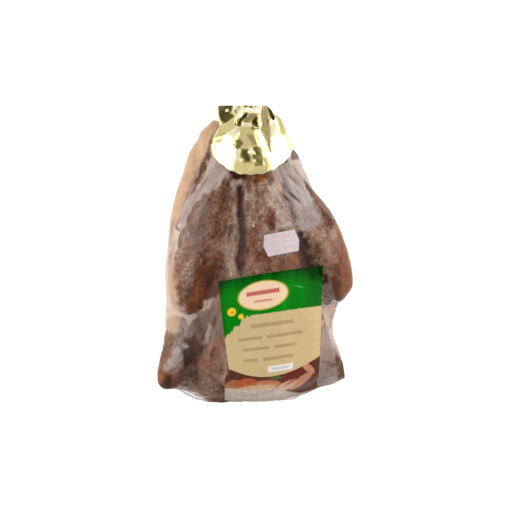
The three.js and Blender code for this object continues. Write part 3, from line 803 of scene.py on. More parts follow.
# %% Bend a sheet round the leg ends
FOIL_TOP = 131.4  # y of the gathered end, in mm
FOIL_AXIS = (-4, 66)  # x and z of the middle line
LEFT_HALF = ((0, 35), (0.19, 33), (0.37, 29), (0.51, 24.5), (0.7, 25.5), (1, 22.5))
RIGHT_HALF = ((0, 36), (0.19, 34), (0.37, 32.5), (0.7, 29.5), (0.83, 25.5), (1, 21))
DEEP_AT_HEM, DEEP_AT_TOP = 25, 9  # half depths
SQUARENESS = 2.4  # 2 is an ellipse; more makes its sides flatter
HEM_AT_BACK, HEM_DROP = 96, 27.5  # y of the hem, and how much lower it is at the front

foil, across, t = add_grid("gold_foil", 320, 90)  # t is 0 at the hem and 1 at the gathered end
turn = 2 * math.pi * across - math.pi / 2  # the seam is underneath
front = np.maximum(np.sin(turn), 0)
hem = HEM_AT_BACK - HEM_DROP * front**1.5 + 0.5 * np.sin(9 * turn) + 0.4 * np.sin(23 * turn)
y = hem + (FOIL_TOP - hem) * t
right = (1 + np.cos(turn)) / 2
half = np.interp(t, *zip(*LEFT_HALF)) * (1 - right) + np.interp(t, *zip(*RIGHT_HALF)) * right
deep = DEEP_AT_HEM + (DEEP_AT_TOP - DEEP_AT_HEM) * smoothstep(t, 0.4, 1)
way = np.stack([half * np.cos(turn), np.zeros_like(t), deep * np.sin(turn)], axis=1)
bulge = np.abs(np.cos(turn)) ** SQUARENESS + np.abs(np.sin(turn)) ** SQUARENESS
way /= (bulge ** (1 / SQUARENESS))[:, None]
radius = np.linalg.norm(way, axis=1)
way /= radius[:, None]
axis = np.stack([FOIL_AXIS[0] - 7 * t * t, y, np.full_like(t, FOIL_AXIS[1])], axis=1)
print("hem from y", round(float(hem.min())), "to", round(float(hem.max())), "mm")

# %% [markdown]
# The sheet has to lie outside the bag. From far out a ray is sent in through each point to find
# the film, and the point is pushed out past it by up to 3 mm. Where the bag stands out more than
# that, at the back, the bag's free end simply goes over the foil.

# %% Push the foil out past the film
FAR = 80  # where the rays start, in mm from the axis
FOIL_GAP = 0.8

wrapped = tree_of(film)
reach = np.zeros(len(t))
for i in range(len(t)):
    hit = wrapped.ray_cast(Vector(axis[i] + way[i] * FAR), Vector(-way[i]), FAR)
    reach[i] = FAR - hit[3] if hit[0] else 0
over = reach + FOIL_GAP - radius
over = np.clip(over, 0, 3) * (1 - smoothstep(over, 4, 7))
left = smoothstep(-np.cos(turn), 0.85, 0.97) * smoothstep(y, 84, 92)
over *= 1 - 0.8 * left  # it lies closer at its left side
sheet = axis + way * (radius + over)[:, None]
print("pushed out by up to", round(float(over.max()), 1), "mm")

# %% [markdown]
# Foil doesn't stretch, so its creases are straight and the facets between them are flat. A sum
# of zigzag waves in a few directions has just that: flat facets that meet in straight edges.
# They lie underneath and near the top, and leave the sides smooth, as they are on real foil. More
# zigzags, along the bird, gather the top.

# %% Crease the foil all over
FACETS = [  # zigzags that cross: direction in degrees, wavelength and height in mm
    (12, 13.0, 0.9),
    (68, 17.0, 1.1),
    (118, 11.0, 0.7),
    (155, 23.0, 1.2),
    (40, 7.0, 0.35),
    (97, 6.0, 0.3),
]
ROUND = 30  # mm of sheet for each radian of turn, about
PLEATS = 14  # round the gathered end


def zigzag(x):
    """A wave of straight flanks from -1 to 1, with wavelength 1."""
    return 4 * np.abs(x - np.floor(x + 0.5)) - 1


creased = np.clip(smoothstep(-np.sin(turn), 0.1, 0.5) + 0.6 * smoothstep(t, 0.7, 1), 0, 1)
rise = np.zeros(len(t))
for angle, long, high in FACETS:
    c, s = math.cos(math.radians(angle)), math.sin(math.radians(angle))
    rise += high * zigzag((c * (turn * ROUND) + s * y) / long + 0.13 * angle)
pleated = zigzag(turn * (PLEATS / 2) / math.pi + 0.2) * smoothstep(t, 0.6, 1)
rise = rise * creased * 0.7 + 1.4 * pleated
print("facets rise by", round(float(rise.min()), 1), "to", round(float(rise.max()), 1), "mm")

# %% [markdown]
# The band down the front was pressed by hand round the legs. It has a few folds of its own,
# drawn from point to point as on the film but with straight flanks, and a crumple between them.

# %% Fold and crumple the front
FOLDS = [  # the front's own folds: from, to (x, y), height, half width
    ((-16, 96), (12, 99), 0.8, 3.0),
    ((-2, 92), (-1, 87), 1.0, 1.6),
    ((-12, 79), (-9, 72), -0.9, 1.5),
    ((4, 80), (6, 73), -0.9, 1.5),
    ((-26, 132), (-24, 120), 0.8, 1.6),
    ((-6, 133), (2, 127), 1.2, 2.2),
    ((-14, 131), (-4, 127), -1.2, 1.6),
    ((18.4, 124), (24, 102), 1.4, 2.6),
]
FRONT_MIDDLE = -2  # x of the creased band's middle

for start, end, high, wide in FOLDS:
    off, share = along(sheet, start, end)
    ends = np.clip(4 * np.minimum(share, 1 - share) + 0.35, 0, 1)
    rise += high * front**0.5 * ends * np.maximum(1 - off / wide, 0)
band = np.exp(-(((sheet[:, 0] - FRONT_MIDDLE) / 15) ** 4))
rise += 0.45 * (clouds(sheet, (5, 5, 5), 2.0) * band * front)
sheet += way * (np.maximum(rise, 0.5 - over) + 0.4)[:, None]
print("foil is", round(float(np.ptp(sheet[:, 0]))), "mm wide")

# %% [markdown]
# Polished foil shows what each facet faces: a room, a lamp or the white table. So the facets
# that catch the eye have to lean the right way. Each is a flat pane with its own slopes, pressed
# into the sheet through the middle of its outline, but never down into the film. Some pane
# outlines also carry painted reflections in the foil's colour, so they have names.

# %% Choose the flat panes
LEFT_EAR = [(-33.8, 133.2), (-19.8, 133.2), (-20.2, 127.8), (-22.1, 124.2), (-18.4, 123.3),
    (-20.2, 120.6), (-26.6, 116.1), (-31.1, 117), (-32.9, 122.4)]
EAR_GLINT = [(-26.8, 128.1), (-24.5, 128.1), (-24.3, 125.8), (-26.6, 125.5)]
LEFT_BAND = [(-31.1, 115.2), (-26.6, 115.7), (-17.6, 122.4), (-15.8, 118.8), (-17.6, 110.7),
    (-24.8, 106.2), (-33.8, 101.7), (-39.1, 99)]
BOW_LEFT = [(-8.6, 125.5), (-6.3, 123.8), (-12.6, 116.5), (-13.5, 112), (-16.7, 113.9),
    (-14.8, 118.8)]
BOW_RIGHT = [(1.4, 122), (2.7, 119.7), (1.8, 117), (3.1, 112), (-0.9, 113), (-4, 116.1),
    (-2.2, 118.8)]
RIGHT_STRIP = [(6.3, 132.3), (12.2, 132.3), (13.5, 95.4), (10.3, 96.3), (5.9, 108.9)]
RIGHT_EAR = [(9, 134.1), (12.2, 134.1), (17.1, 121.5), (15.8, 118.4), (13.1, 121.5), (10.8, 128.7)]
LOBE_GLINT = [(-3.8, 91.4), (-2.2, 91.4), (-0.5, 87.3), (-1.5, 86.4), (-3.3, 88.2)]
PANES = [  # flat panes: slope along x, along y, lift, softness in mm, outline seen from above
    # the ears and the bow at the top
    (0.0, -0.08, 0.6, 0.9, LEFT_EAR),
    (0.4, -0.1, 0.3, 0.5, EAR_GLINT),
    (0.12, -0.36, 0.4, 1.2, LEFT_BAND),
    (0.15, -0.36, 0.3, 1.0, [(-19.4, 133.2), (-11.2, 133.2), (-11.2, 127.8), (-15.8, 121.5),
        (-18.4, 123.3)]),
    (0.5, -0.2, 0.9, 0.7, [(-10.8, 128.2), (-8.6, 127.4), (-14.4, 118.8), (-16.7, 112.5),
        (-18, 113.4), (-16.7, 120.6)]),
    (0.05, -0.3, -0.4, 1.0, [(-7.7, 124.7), (2.2, 124.2), (1.4, 113.4), (-10.3, 113.4),
        (-12.2, 117)]),
    (0.0, 0.0, -1.2, 0.7, BOW_LEFT),
    (0.0, 0.0, -1.0, 0.7, BOW_RIGHT),
    (0.3, -0.3, 0.4, 0.9, [(-5.9, 129.6), (1.4, 129.6), (0.5, 125.1), (-5.9, 125.1)]),
    (0.4, -0.3, 0.8, 0.8, [(2.2, 133.2), (5.9, 133.2), (5.4, 109.8), (1.8, 110.7)]),
    # the band down the front
    (0.04, -0.35, 0.4, 1.6, [(-14, 112), (-1.4, 113), (2.7, 93.6), (6.8, 92.7), (13.1, 76.5),
        (13.1, 65.7), (-21.2, 65.7), (-20.2, 76.5), (-17.6, 91.8), (-18, 99.9), (-14.8, 106.2)]),
    (-0.06, -0.36, 0.5, 1.1, RIGHT_STRIP),
    (-0.42, -0.2, 1.2, 0.9, [(-0.5, 109.8), (4.5, 109.8), (10.3, 95.4), (14, 76.5), (10.8, 76.5),
        (4, 92.7)]),
    (0.0, 0.0, -1.2, 0.6, RIGHT_EAR),
    (-0.2, -0.36, 0.3, 1.1, [(17.6, 126), (22.1, 125.1), (27.4, 114.3), (27.9, 104.4),
        (24.8, 104.4), (20.2, 108)]),
    # the two lobes in it
    (0.02, -0.18, -0.1, 2.2, [(-12.6, 91.8), (-6.3, 91.8), (-4.5, 84.6), (-3.6, 79.2),
        (-10.8, 79.2), (-13.1, 84.6)]),
    (-0.02, -0.18, -0.1, 2.2, [(-2.2, 93.6), (3.6, 93.6), (6.8, 85.5), (7.7, 76.5), (-0.5, 76),
        (-3.1, 84.6)]),
    (0.3, -0.15, 0.4, 0.7, LOBE_GLINT),
]
print("panes:", len(PANES))

# %% [markdown]
# A pane is pressed only into the half of the sheet that faces up, because seen from above its
# outline covers the underside as well. Dimples half a centimetre wide then keep the front from
# looking like sheet metal.

# %% Press the panes flat
facing = np.sin(turn) > 0.2
for slope_x, slope_y, lift, soft, outline in PANES:
    share = inside(sheet, outline, soft) * facing
    middle = np.mean(outline, axis=0)
    nearest = np.argmin(np.hypot(*(sheet[:, :2] - middle).T) + 100 * ~facing)
    plane = sheet[nearest, 2] + lift + (sheet[:, :2] - middle) @ (slope_x, slope_y)
    sheet[:, 2] += (np.maximum(plane, axis[:, 2] + way[:, 2] * (reach + 0.4)) - sheet[:, 2]) * share
dimples = clouds(sheet, (4.5, 4.5, 9), 6.0) + 0.5 * clouds(sheet, (2.2, 2.2, 5), 8.0)
band = np.exp(-(((sheet[:, 0] - FRONT_MIDDLE) / 18) ** 4))
sheet[:, 2] += 0.14 * dimples * front**0.5 * band
print("highest point of the foil:", round(float(sheet[:, 2].max()), 1), "mm")

# %% [markdown]
# The lacquer that makes aluminium gold is a thin tinted coat. Over that tint, reflections are
# painted into the colour: near white is a painted highlight where a facet faces a lamp, and deep
# khaki is a painted reflection of the dark room. They are painted in the same way as the haze.

# %% Choose the painted reflections on the foil
FOIL_TINT_AND_PAINTED_REFLECTION = [  # how dark the painted reflection is (0 a painted highlight, near 1 a painted dark reflection), softness in mm, outline seen from above
    # the left ear and the band below it
    (0.72, 1.2, LEFT_EAR),
    (0.5, 1.4, [(-32.9, 132.3), (-27.4, 132.3), (-27.4, 128.7), (-31.9, 126.9)]),
    (0.0, 0.6, EAR_GLINT),
    (0.2, 1.2, LEFT_BAND),
    (0.12, 1.5, [(-40.1, 102.6), (-35.6, 104.4), (-33.8, 93.6), (-30.2, 84.6), (-35.6, 84.6),
        (-40.1, 93.6)]),
    # the bow
    (0.5, 0.9, [(-18.9, 127.8), (-16.2, 127.8), (-16.2, 124.2), (-18.9, 124.2)]),
    (0.45, 0.9, [(-15.8, 132.3), (-13.1, 132.3), (-14.4, 127.8), (-16.2, 128.7)]),
    (0.52, 1.0, [(-7.7, 124.7), (2.2, 124.2), (1.4, 119.7), (-4, 115.7), (-10.8, 116.1),
        (-10.3, 119.7)]),
    (0.95, 0.8, BOW_LEFT),
    (0.9, 0.8, BOW_RIGHT),
    (0.75, 0.9, [(-11.2, 134.1), (-6.8, 134.1), (-7.2, 129.6), (-10.8, 130.1)]),
    (0.6, 0.9, [(-5, 134.1), (1.4, 134.1), (-0.5, 130.5), (-4, 129.6)]),
    # the band down the front
    (0.1, 1.5, [(-17.6, 113.4), (-13.1, 113.4), (-13.1, 102.6), (-15.8, 80.1), (-19.4, 73.8),
        (-20.2, 84.6)]),
    (0.28, 1.8, [(-14, 112), (-1.4, 113), (2.7, 93.6), (-11.2, 92.7), (-17.6, 91.8), (-18, 99.9),
        (-14.8, 106.2)]),
    (0.62, 1.0, [(-4, 112), (-0.5, 112), (-1.4, 108.9), (-3.6, 108.9)]),
    (0.5, 1.4, [(-7.7, 104.4), (-3.1, 105.3), (2.2, 96.3), (-2.2, 95)]),
    (0.66, 1.4, [(-17.6, 99.9), (-13.1, 100.4), (-10.8, 97.2), (-14, 92.2), (-17.6, 91.8)]),
    (0.12, 0.8, [(0.5, 109.8), (4, 109.8), (9.9, 95.4), (12.2, 84.6), (9.5, 84.6), (4, 94.5)]),
    # the strip at its right, and the right ear
    (0.46, 1.1, RIGHT_STRIP),
    (0.5, 1.0, [(4.8, 127.8), (7.2, 127.8), (7.2, 107.1), (5.4, 108)]),
    (0.6, 1.0, [(9.5, 118.8), (12.2, 118.8), (12.2, 115.2), (9.5, 115.2)]),
    (0.85, 0.7, RIGHT_EAR),
    (0.8, 0.9, [(9.9, 96.3), (13.1, 95.9), (14.4, 88.2), (12.2, 89.1)]),
    (0.3, 1.0, [(18.4, 124.2), (21.2, 124.2), (24.8, 113.4), (24.8, 105.3), (22.9, 106.2),
        (20.2, 117)]),
    (0.5, 0.9, [(22.9, 121.5), (25.7, 117.9), (27.4, 113.4), (27, 104.4), (25.7, 106.2),
        (24.8, 114.3)]),
    (0.25, 1.5, [(25.7, 118.8), (30.2, 106.2), (32.9, 93.6), (29.2, 91.8), (27.4, 102.6),
        (23.9, 113.4)]),
    # the hem and the two lobes
    (0.22, 1.5, [(-21.2, 81), (14.8, 81), (14.8, 68.4), (-21.2, 68.4)]),
    (0.8, 1.6, [(-12.6, 91.8), (-6.3, 91.8), (-4.5, 84.6), (-3.6, 80.1), (-10.8, 80.1),
        (-13.1, 84.6)]),
    (0.66, 1.6, [(-2.2, 93.6), (3.6, 93.6), (5.9, 86.4), (6.8, 77.4), (-0.5, 76.5), (-3.1, 84.6)]),
    (0.72, 1.5, [(-0.9, 92.7), (2.2, 92.7), (3.1, 84.6), (0.9, 81), (-1.4, 86.4)]),
    (0.32, 1.0, [(5.4, 93.6), (7.7, 91.8), (11.2, 79.2), (7.7, 78.3)]),
    (0.3, 1.6, [(-5.9, 73.4), (13.1, 75.2), (13.1, 68.4), (-5.9, 67.5)]),
    (0.6, 1.0, [(7.7, 85.5), (9.5, 84.6), (11.7, 77.4), (9.5, 76.5)]),
    (0.0, 0.6, LOBE_GLINT),
]
print("areas of lacquer:", len(FOIL_TINT_AND_PAINTED_REFLECTION))

# %% [markdown]
# With its painted reflections kept, the sheet is smoothed a little, because foil can't hold a
# knife edge, and its two long sides are merged to close the seam underneath.

# %% Paint the reflections into the foil and close the seam
depth = np.zeros(len(t))
for amount, soft, outline in FOIL_TINT_AND_PAINTED_REFLECTION:
    depth += (amount - depth) * inside(sheet, outline, soft) * facing
store(foil, "tint_and_painted_reflection", depth)
set_points(foil, sheet)
modify(foil, "SMOOTH", factor=0.5, iterations=2)
take(foil)
bpy.ops.object.mode_set(mode="EDIT")
bpy.ops.mesh.select_all(action="SELECT")
bpy.ops.mesh.remove_doubles(threshold=0.02 * MM)
bpy.ops.mesh.normals_make_consistent(inside=False)
bpy.ops.object.mode_set(mode="OBJECT")
report(foil)

# %% [markdown]
# The hem stands off the bag at the front, and from the side one would look in under it. A real
# hem is turned under, so its edge is extruded and each new point dropped to the film. The
# extrude operator moves all points alike, so this is done in bmesh, where each has its own way.

# %% Turn the hem under
HEM_STEP = 0.8  # how far the turned edge goes back under the sheet, in mm
HEM_MOST = 24  # the longest drop

mesh = bmesh.new()
mesh.from_mesh(foil.data)
hem_edges = [edge for edge in mesh.edges if edge.is_boundary and edge.verts[0].co.y < 110 * MM]
grown = bmesh.ops.extrude_edge_only(mesh, edges=hem_edges)["geom"]
for vert in (g for g in grown if isinstance(g, bmesh.types.BMVert)):
    x, y, z = vert.co / MM
    under = wrapped.ray_cast(Vector((x, y + HEM_STEP, z)), Vector((0, 0, -1)), 40)
    if under[0]:
        at_front = float(smoothstep(z, FOIL_AXIS[1] + 6, FOIL_AXIS[1] + 15))
        z -= min(under[3] - 0.3, HEM_MOST) * at_front
    vert.co = Vector((x, y + HEM_STEP, z)) * MM
print("edges of the hem:", len(hem_edges))

# %% [markdown]
# At the top the sheet is gathered: its edge is extruded inwards in four steps, each a smaller
# ring, and closed. Solidify then gives the foil its thickness inwards, and shading by angle
# keeps the creases crisp and the bulges round.

# %% Gather and close the top
RINGS = ((0.82, -0.6), (0.6, 0.4), (0.35, 1.8), (0.12, 3.2))  # size, and mm below the top's edge
FOIL_THICK = 0.15  # mm, a few times that of real foil

rim = [edge for edge in mesh.edges if edge.is_boundary and edge.verts[0].co.y > 120 * MM]
size_before = 1
for size, drop in RINGS:
    grown = bmesh.ops.extrude_edge_only(mesh, edges=rim)["geom"]
    ring = [g for g in grown if isinstance(g, bmesh.types.BMVert)]
    rim = [g for g in grown if isinstance(g, bmesh.types.BMEdge)]
    centre = sum((vert.co for vert in ring), Vector()) / len(ring)
    for vert in ring:
        vert.co = centre + (vert.co - centre) * (size / size_before)
        vert.co.y = (FOIL_TOP - drop) * MM
    size_before = size
bmesh.ops.contextual_create(mesh, geom=rim)
bmesh.ops.recalc_face_normals(mesh, faces=mesh.faces)
mesh.to_mesh(foil.data)
mesh.free()
modify(foil, "SOLIDIFY", thickness=FOIL_THICK * MM, offset=-1)
take(foil)
bpy.ops.object.shade_smooth_by_angle(angle=math.radians(35))
report(foil)

# %% [markdown]
# ## The label and the sticker
#
# The label is a stiff printed sheet that lies over the breast and rounds off at the neck end.
# It doesn't follow small dips, so each point takes the highest film within a few millimetres.
# A grid is laid out between the label's four corners, lifted onto the film, and given its
# thickness with Solidify. The grid's own UV map then carries the print. Past the film's edge
# the sheet goes on at the height of the weld.

# %% Lay the label
LABEL_CORNERS = ((-28, -132.5), (55.5, -123.5), (59.5, -10.5), (-32.5, -24.5))
LABEL_TUCK = (  # how much its left edge is tucked in, in mm, from the foot (0) to the top (1)
    (0, 0), (0.13, 1.1), (0.217, 2.3), (0.25, 5.5), (0.267, 6.1),
    (0.425, 4.4), (0.59, 3.0), (0.76, 1.4), (1, 0),
)


def lay_sheet(name, columns, rows, place, stiff, gap, thick, ease):
    """A flat sheet laid on the film: place gives x and y from the grid's u and v."""
    sheet, us, vs = add_grid(name, columns, rows)
    laid = []
    for u, v in zip(us, vs):
        x, y = place(u, v)
        high = 0
        for a in (-stiff, 0, stiff):
            for b in (-stiff, 0, stiff):
                hit = wrapped.ray_cast(Vector((x + a, y + b, 150)), Vector((0, 0, -1)), 150)
                high = max(high, hit[0].z if hit[0] else 0)
        laid.append((x, y, (high or WELD_HEIGHT) + gap))
    laid = np.array(laid)
    set_points(sheet, laid)
    modify(sheet, "SMOOTH", factor=0.5, iterations=ease)
    eased = points_of(sheet)
    eased[:, :2] = laid[:, :2]
    eased[:, 2] = np.maximum(eased[:, 2], laid[:, 2] - 0.15)
    set_points(sheet, eased)
    modify(sheet, "SOLIDIFY", thickness=thick * MM, offset=1)
    take(sheet)
    bpy.ops.object.shade_smooth_by_angle(angle=math.radians(40))
    report(sheet)
    return sheet


def on_label(u, v):
    """A point between the label's four corners; its left edge is tucked in near the foot."""
    a, b, c, d = (np.array(corner) for corner in LABEL_CORNERS)
    x, y = (a * (1 - u) + b * u) * (1 - v) + (d * (1 - u) + c * u) * v
    x += (1 - u) ** 2 * np.interp(v, *zip(*LABEL_TUCK))
    return x, y + 4 * u * (1 - u) * (1.5 * v - 6 * (1 - v) ** 4)


label = lay_sheet("printed_label", 80, 100, on_label, stiff=3, gap=0.3, thick=0.3, ease=8)

# %% [markdown]
# The price sticker comes off a roll, die-cut with short sides that end in a blunt point. It is
# thinner and softer than the label, so it follows the film more closely.

# %% Lay the price sticker
STICKER_SIZE = (32, 19)
STICKER_AT = (22.5, 9.5)
STICKER_TURN = math.radians(11)
STICKER_POINT = 2.4  # how far the blunt points stand out


def on_sticker(u, v):
    """A point on the sticker as it was stuck on, a little turned."""
    point = STICKER_POINT * (1 - abs(2 * v - 1))
    x = (u - 0.5) * (STICKER_SIZE[0] - 2 * STICKER_POINT + 2 * point)
    y = (v - 0.5) * STICKER_SIZE[1]
    c, s = math.cos(STICKER_TURN), math.sin(STICKER_TURN)
    return STICKER_AT[0] + c * x - s * y, STICKER_AT[1] + s * x + c * y


sticker = lay_sheet("price_tag", 48, 28, on_sticker, stiff=2, gap=0.3, thick=0.15, ease=4)

# %% [markdown]
# ## Materials
#
# Each material is a small tree of nodes that ends in a Principled shader. One function adds a
# node with its settings and its links, so that a tree reads from top to bottom. Colours are
# written as sRGB hex, as a picker shows them, and turned to the linear values that a shader
# takes. Patterns read the place on the object, so their scale is one over a size in metres.

# %% Add a node, start a material and put it on
def linear(code):
    """An sRGB hex colour as the linear colour, with alpha, that a shader takes."""
    parts = [int(code[i : i + 2], 16) / 255 for i in (1, 3, 5)]
    return [p / 12.92 if p <= 0.04045 else ((p + 0.055) / 1.055) ** 2.4 for p in parts] + [1.0]


def add_node(tree, kind, inputs=(), **settings):
    """Adds a node. Each input is given a value, or the output that is linked to it."""
    node = tree.nodes.new("ShaderNode" + kind)
    for name, value in settings.items():
        setattr(node, name, value)
    for key, value in dict(inputs).items():
        if isinstance(value, bpy.types.NodeSocket):
            tree.links.new(value, node.inputs[key])
        else:
            node.inputs[key].default_value = value
    return node


def start_material(name):
    """A new material: itself, its tree, its Principled shader and the place on the object."""
    made = bpy.data.materials.new(name)
    made.use_nodes = True
    tree = made.node_tree
    place = add_node(tree, "TexCoord").outputs["Object"]
    return made, tree, tree.nodes["Principled BSDF"], place


def dress(piece, material):
    """Puts a finished material on a piece."""
    piece.data.materials.append(material)
    print(f"{piece.name}: {material.name}, {len(material.node_tree.nodes)} nodes")


print("mid grey is", round(linear("#808080")[0], 3), "as a linear value")

# %% [markdown]
# Smoked skin is brown, from near black to red-brown and gold. The near-black end also carries
# the painted shade in grooves, gaps and hollows. The brown is broken up three times: by lumps as
# wide as two folds, by streaks that run away from the foil, and by specks as small as a pore.
# They are added to the tone kept on the vertices, and one colour ramp turns the sum into brown.

# %% Colour the smoked skin
material, tree, shader, place = start_material("smoked_skin_frozen")
broad = add_node(  # lumps 12 mm wide
    tree, "TexNoise", {"Vector": place, "Scale": 1 / (12 * MM), "Detail": 5.0, "Roughness": 0.6}
)
around = add_node(tree, "Attribute", attribute_name="around")
outward = add_node(tree, "Attribute", attribute_name="outward")
streaks = add_node(tree, "CombineXYZ", {0: around.outputs["Fac"], 1: outward.outputs["Fac"]})
fine = add_node(  # streaks 2.6 mm wide: these two attributes are in mm already
    tree,
    "TexNoise",
    {"Vector": streaks.outputs[0], "Scale": 1 / 2.6, "Detail": 5.0, "Roughness": 0.68},
)
peppery = add_node(  # specks 1.7 mm wide
    tree, "TexNoise", {"Vector": place, "Scale": 1 / (1.7 * MM), "Detail": 2.0, "Roughness": 0.6}
)
uneven = add_node(tree, "Attribute", attribute_name="tone").outputs["Fac"]
for pattern, strength in ((broad, 0.9), (fine, 0.75), (peppery, 0.8)):
    centred = add_node(tree, "Math", {0: pattern.outputs[0], 1: 0.5}, operation="SUBTRACT")
    summed = add_node(
        tree, "Math", {0: centred.outputs[0], 1: strength, 2: uneven}, operation="MULTIPLY_ADD"
    )
    uneven = summed.outputs[0]
smoke = add_node(tree, "ValToRGB", {0: uneven})
for spot, code in ((0.35, "#4a2417"), (0.62, "#784124")):
    smoke.color_ramp.elements.new(spot).color = linear(code)
smoke.color_ramp.elements[0].color = linear("#22110b")
smoke.color_ramp.elements[-1].color = linear("#a86d3a")
pale = add_node(tree, "Attribute", attribute_name="pale")
tan = add_node(
    tree,
    "Mix",
    {0: broad.outputs[0], 6: linear("#b08862"), 7: linear("#d2b494")},
    data_type="RGBA",
)
whole = add_node(
    tree,
    "Mix",
    {0: pale.outputs["Fac"], 6: smoke.outputs[0], 7: tan.outputs[2]},
    data_type="RGBA",
)
tree.links.new(whole.outputs[2], shader.inputs["Base Color"])
print("nodes so far:", len(tree.nodes))

# %% [markdown]
# Under the film the skin's fat gives only a soft gloss: roughness 0.4 and little specular,
# because frozen skin is dry. Pores 3 mm apart, as feathers leave them, and the streaks raise
# a bump of half a millimetre.

# %% Give the skin its pores
pores = add_node(tree, "TexVoronoi", {"Vector": place, "Scale": 1 / (3 * MM)})
height = add_node(
    tree, "Math", {0: pores.outputs["Distance"], 1: fine.outputs[0]}, operation="ADD"
)
bump = add_node(
    tree, "Bump", {"Height": height.outputs[0], "Distance": 0.5 * MM, "Strength": 0.6}
)
tree.links.new(bump.outputs[0], shader.inputs["Normal"])
shader.inputs["Roughness"].default_value = 0.4
shader.inputs["Specular IOR Level"].default_value = 0.06
dress(hen, material)

# %% [markdown]
# The film itself is colourless polyethylene. What one sees of it is the frost on its inner side,
# so the shader is a dull grey-pink frost whose alpha is the amount of haze. The haze kept on the
# vertices is broken up by blotches that run away from the foil, by grain, and by a few
# crystals, all of it as strongly as each area's mottling says.

# %% Grow the frost
material, tree, shader, place = start_material("clear_film_frosted")
haze = add_node(tree, "Attribute", attribute_name="haze")
mottle = add_node(tree, "Attribute", attribute_name="mottle")
around = add_node(tree, "Attribute", attribute_name="around")
outward = add_node(tree, "Attribute", attribute_name="outward")
streaks = add_node(tree, "CombineXYZ", {0: around.outputs["Fac"], 1: outward.outputs["Fac"]})
blotch = add_node(  # blotches 8 mm wide: these two attributes are in mm already
    tree,
    "TexNoise",
    {"Vector": streaks.outputs[0], "Scale": 1 / 8, "Detail": 5.0, "Roughness": 0.62},
)
grain = add_node(  # grain 2.6 mm wide
    tree, "TexNoise", {"Vector": place, "Scale": 1 / (2.6 * MM), "Detail": 2.0, "Roughness": 0.5}
)
specks = add_node(  # crystals 6 mm apart
    tree, "TexVoronoi", {"Vector": place, "Scale": 1 / (6 * MM), "Randomness": 1.0}
)
crystal = add_node(
    tree, "MapRange", {0: specks.outputs["Distance"], 1: 0.2, 2: 0.08, 3: 0.0, 4: 0.25}
)
uneven = crystal.outputs[0]
for pattern, strength in ((blotch, 1.7), (grain, 0.7)):
    centred = add_node(tree, "Math", {0: pattern.outputs[0], 1: 0.5}, operation="SUBTRACT")
    summed = add_node(
        tree, "Math", {0: centred.outputs[0], 1: strength, 2: uneven}, operation="MULTIPLY_ADD"
    )
    uneven = summed.outputs[0]
hazed = add_node(
    tree,
    "Math",
    {0: uneven, 1: mottle.outputs["Fac"], 2: haze.outputs["Fac"]},
    operation="MULTIPLY_ADD",
)
alpha = add_node(
    tree, "MapRange", {0: hazed.outputs[0], 1: 0.03, 2: 0.9, 3: 0.03, 4: 0.9}, clamp=True
)
print("nodes so far:", len(tree.nodes))

# %% [markdown]
# Thin frost is brownish, because skin shines through it, and thick frost is grey-pink. Over fat
# both are warmer. In the brown patches the frost is painted brown.

# %% Tint the frost
cold = add_node(
    tree,
    "Mix",
    {0: alpha.outputs[0], 6: linear("#7c563e"), 7: linear("#b3a7a3")},
    data_type="RGBA",
)
warm = add_node(
    tree,
    "Mix",
    {0: alpha.outputs[0], 6: linear("#c79e7d"), 7: linear("#dcbfa9")},
    data_type="RGBA",
)
warmth = add_node(tree, "Attribute", attribute_name="warmth")
colour = add_node(
    tree,
    "Mix",
    {0: warmth.outputs["Fac"], 6: cold.outputs[2], 7: warm.outputs[2]},
    data_type="RGBA",
)
brown = add_node(tree, "Attribute", attribute_name="brown")
colour = add_node(
    tree,
    "Mix",
    {0: brown.outputs["Fac"], 6: colour.outputs[2], 7: linear("#5c3b2f")},
    data_type="RGBA",
)
tree.links.new(colour.outputs[2], shader.inputs["Base Color"])
tree.links.new(alpha.outputs[0], shader.inputs["Alpha"])
shader.inputs["Roughness"].default_value = 0.5
shader.inputs["Specular IOR Level"].default_value = 0.04
print("nodes so far:", len(tree.nodes))

# %% [markdown]
# The film's own shine lies over the frost, also where the frost is clear, so it can't be the
# frost shader's gloss, which fades with its alpha. A glossy shader is mixed in by Fresnel, and
# less of it where the film is painted brown. The grain raises a fine bump in both.

# %% Lay the shine over the frost
bump = add_node(
    tree, "Bump", {"Height": grain.outputs[0], "Distance": 0.35 * MM, "Strength": 0.5}
)
tree.links.new(bump.outputs[0], shader.inputs["Normal"])
shine = add_node(tree, "BsdfGlossy", {"Roughness": 0.14, "Normal": bump.outputs[0]})
edge_on = add_node(tree, "Fresnel", {"IOR": 1.4, "Normal": bump.outputs[0]})
less_brown = add_node(tree, "MapRange", {0: brown.outputs["Fac"], 1: 0.0, 2: 1.0, 3: 0.26, 4: 0.05})
shining = add_node(tree, "Math", {0: edge_on.outputs[0], 1: less_brown.outputs[0]}, operation="MULTIPLY")
both = add_node(
    tree, "MixShader", {0: shining.outputs[0], 1: shader.outputs[0], 2: shine.outputs[0]}
)
tree.links.new(both.outputs[0], tree.nodes["Material Output"].inputs["Surface"])
dress(film, material)
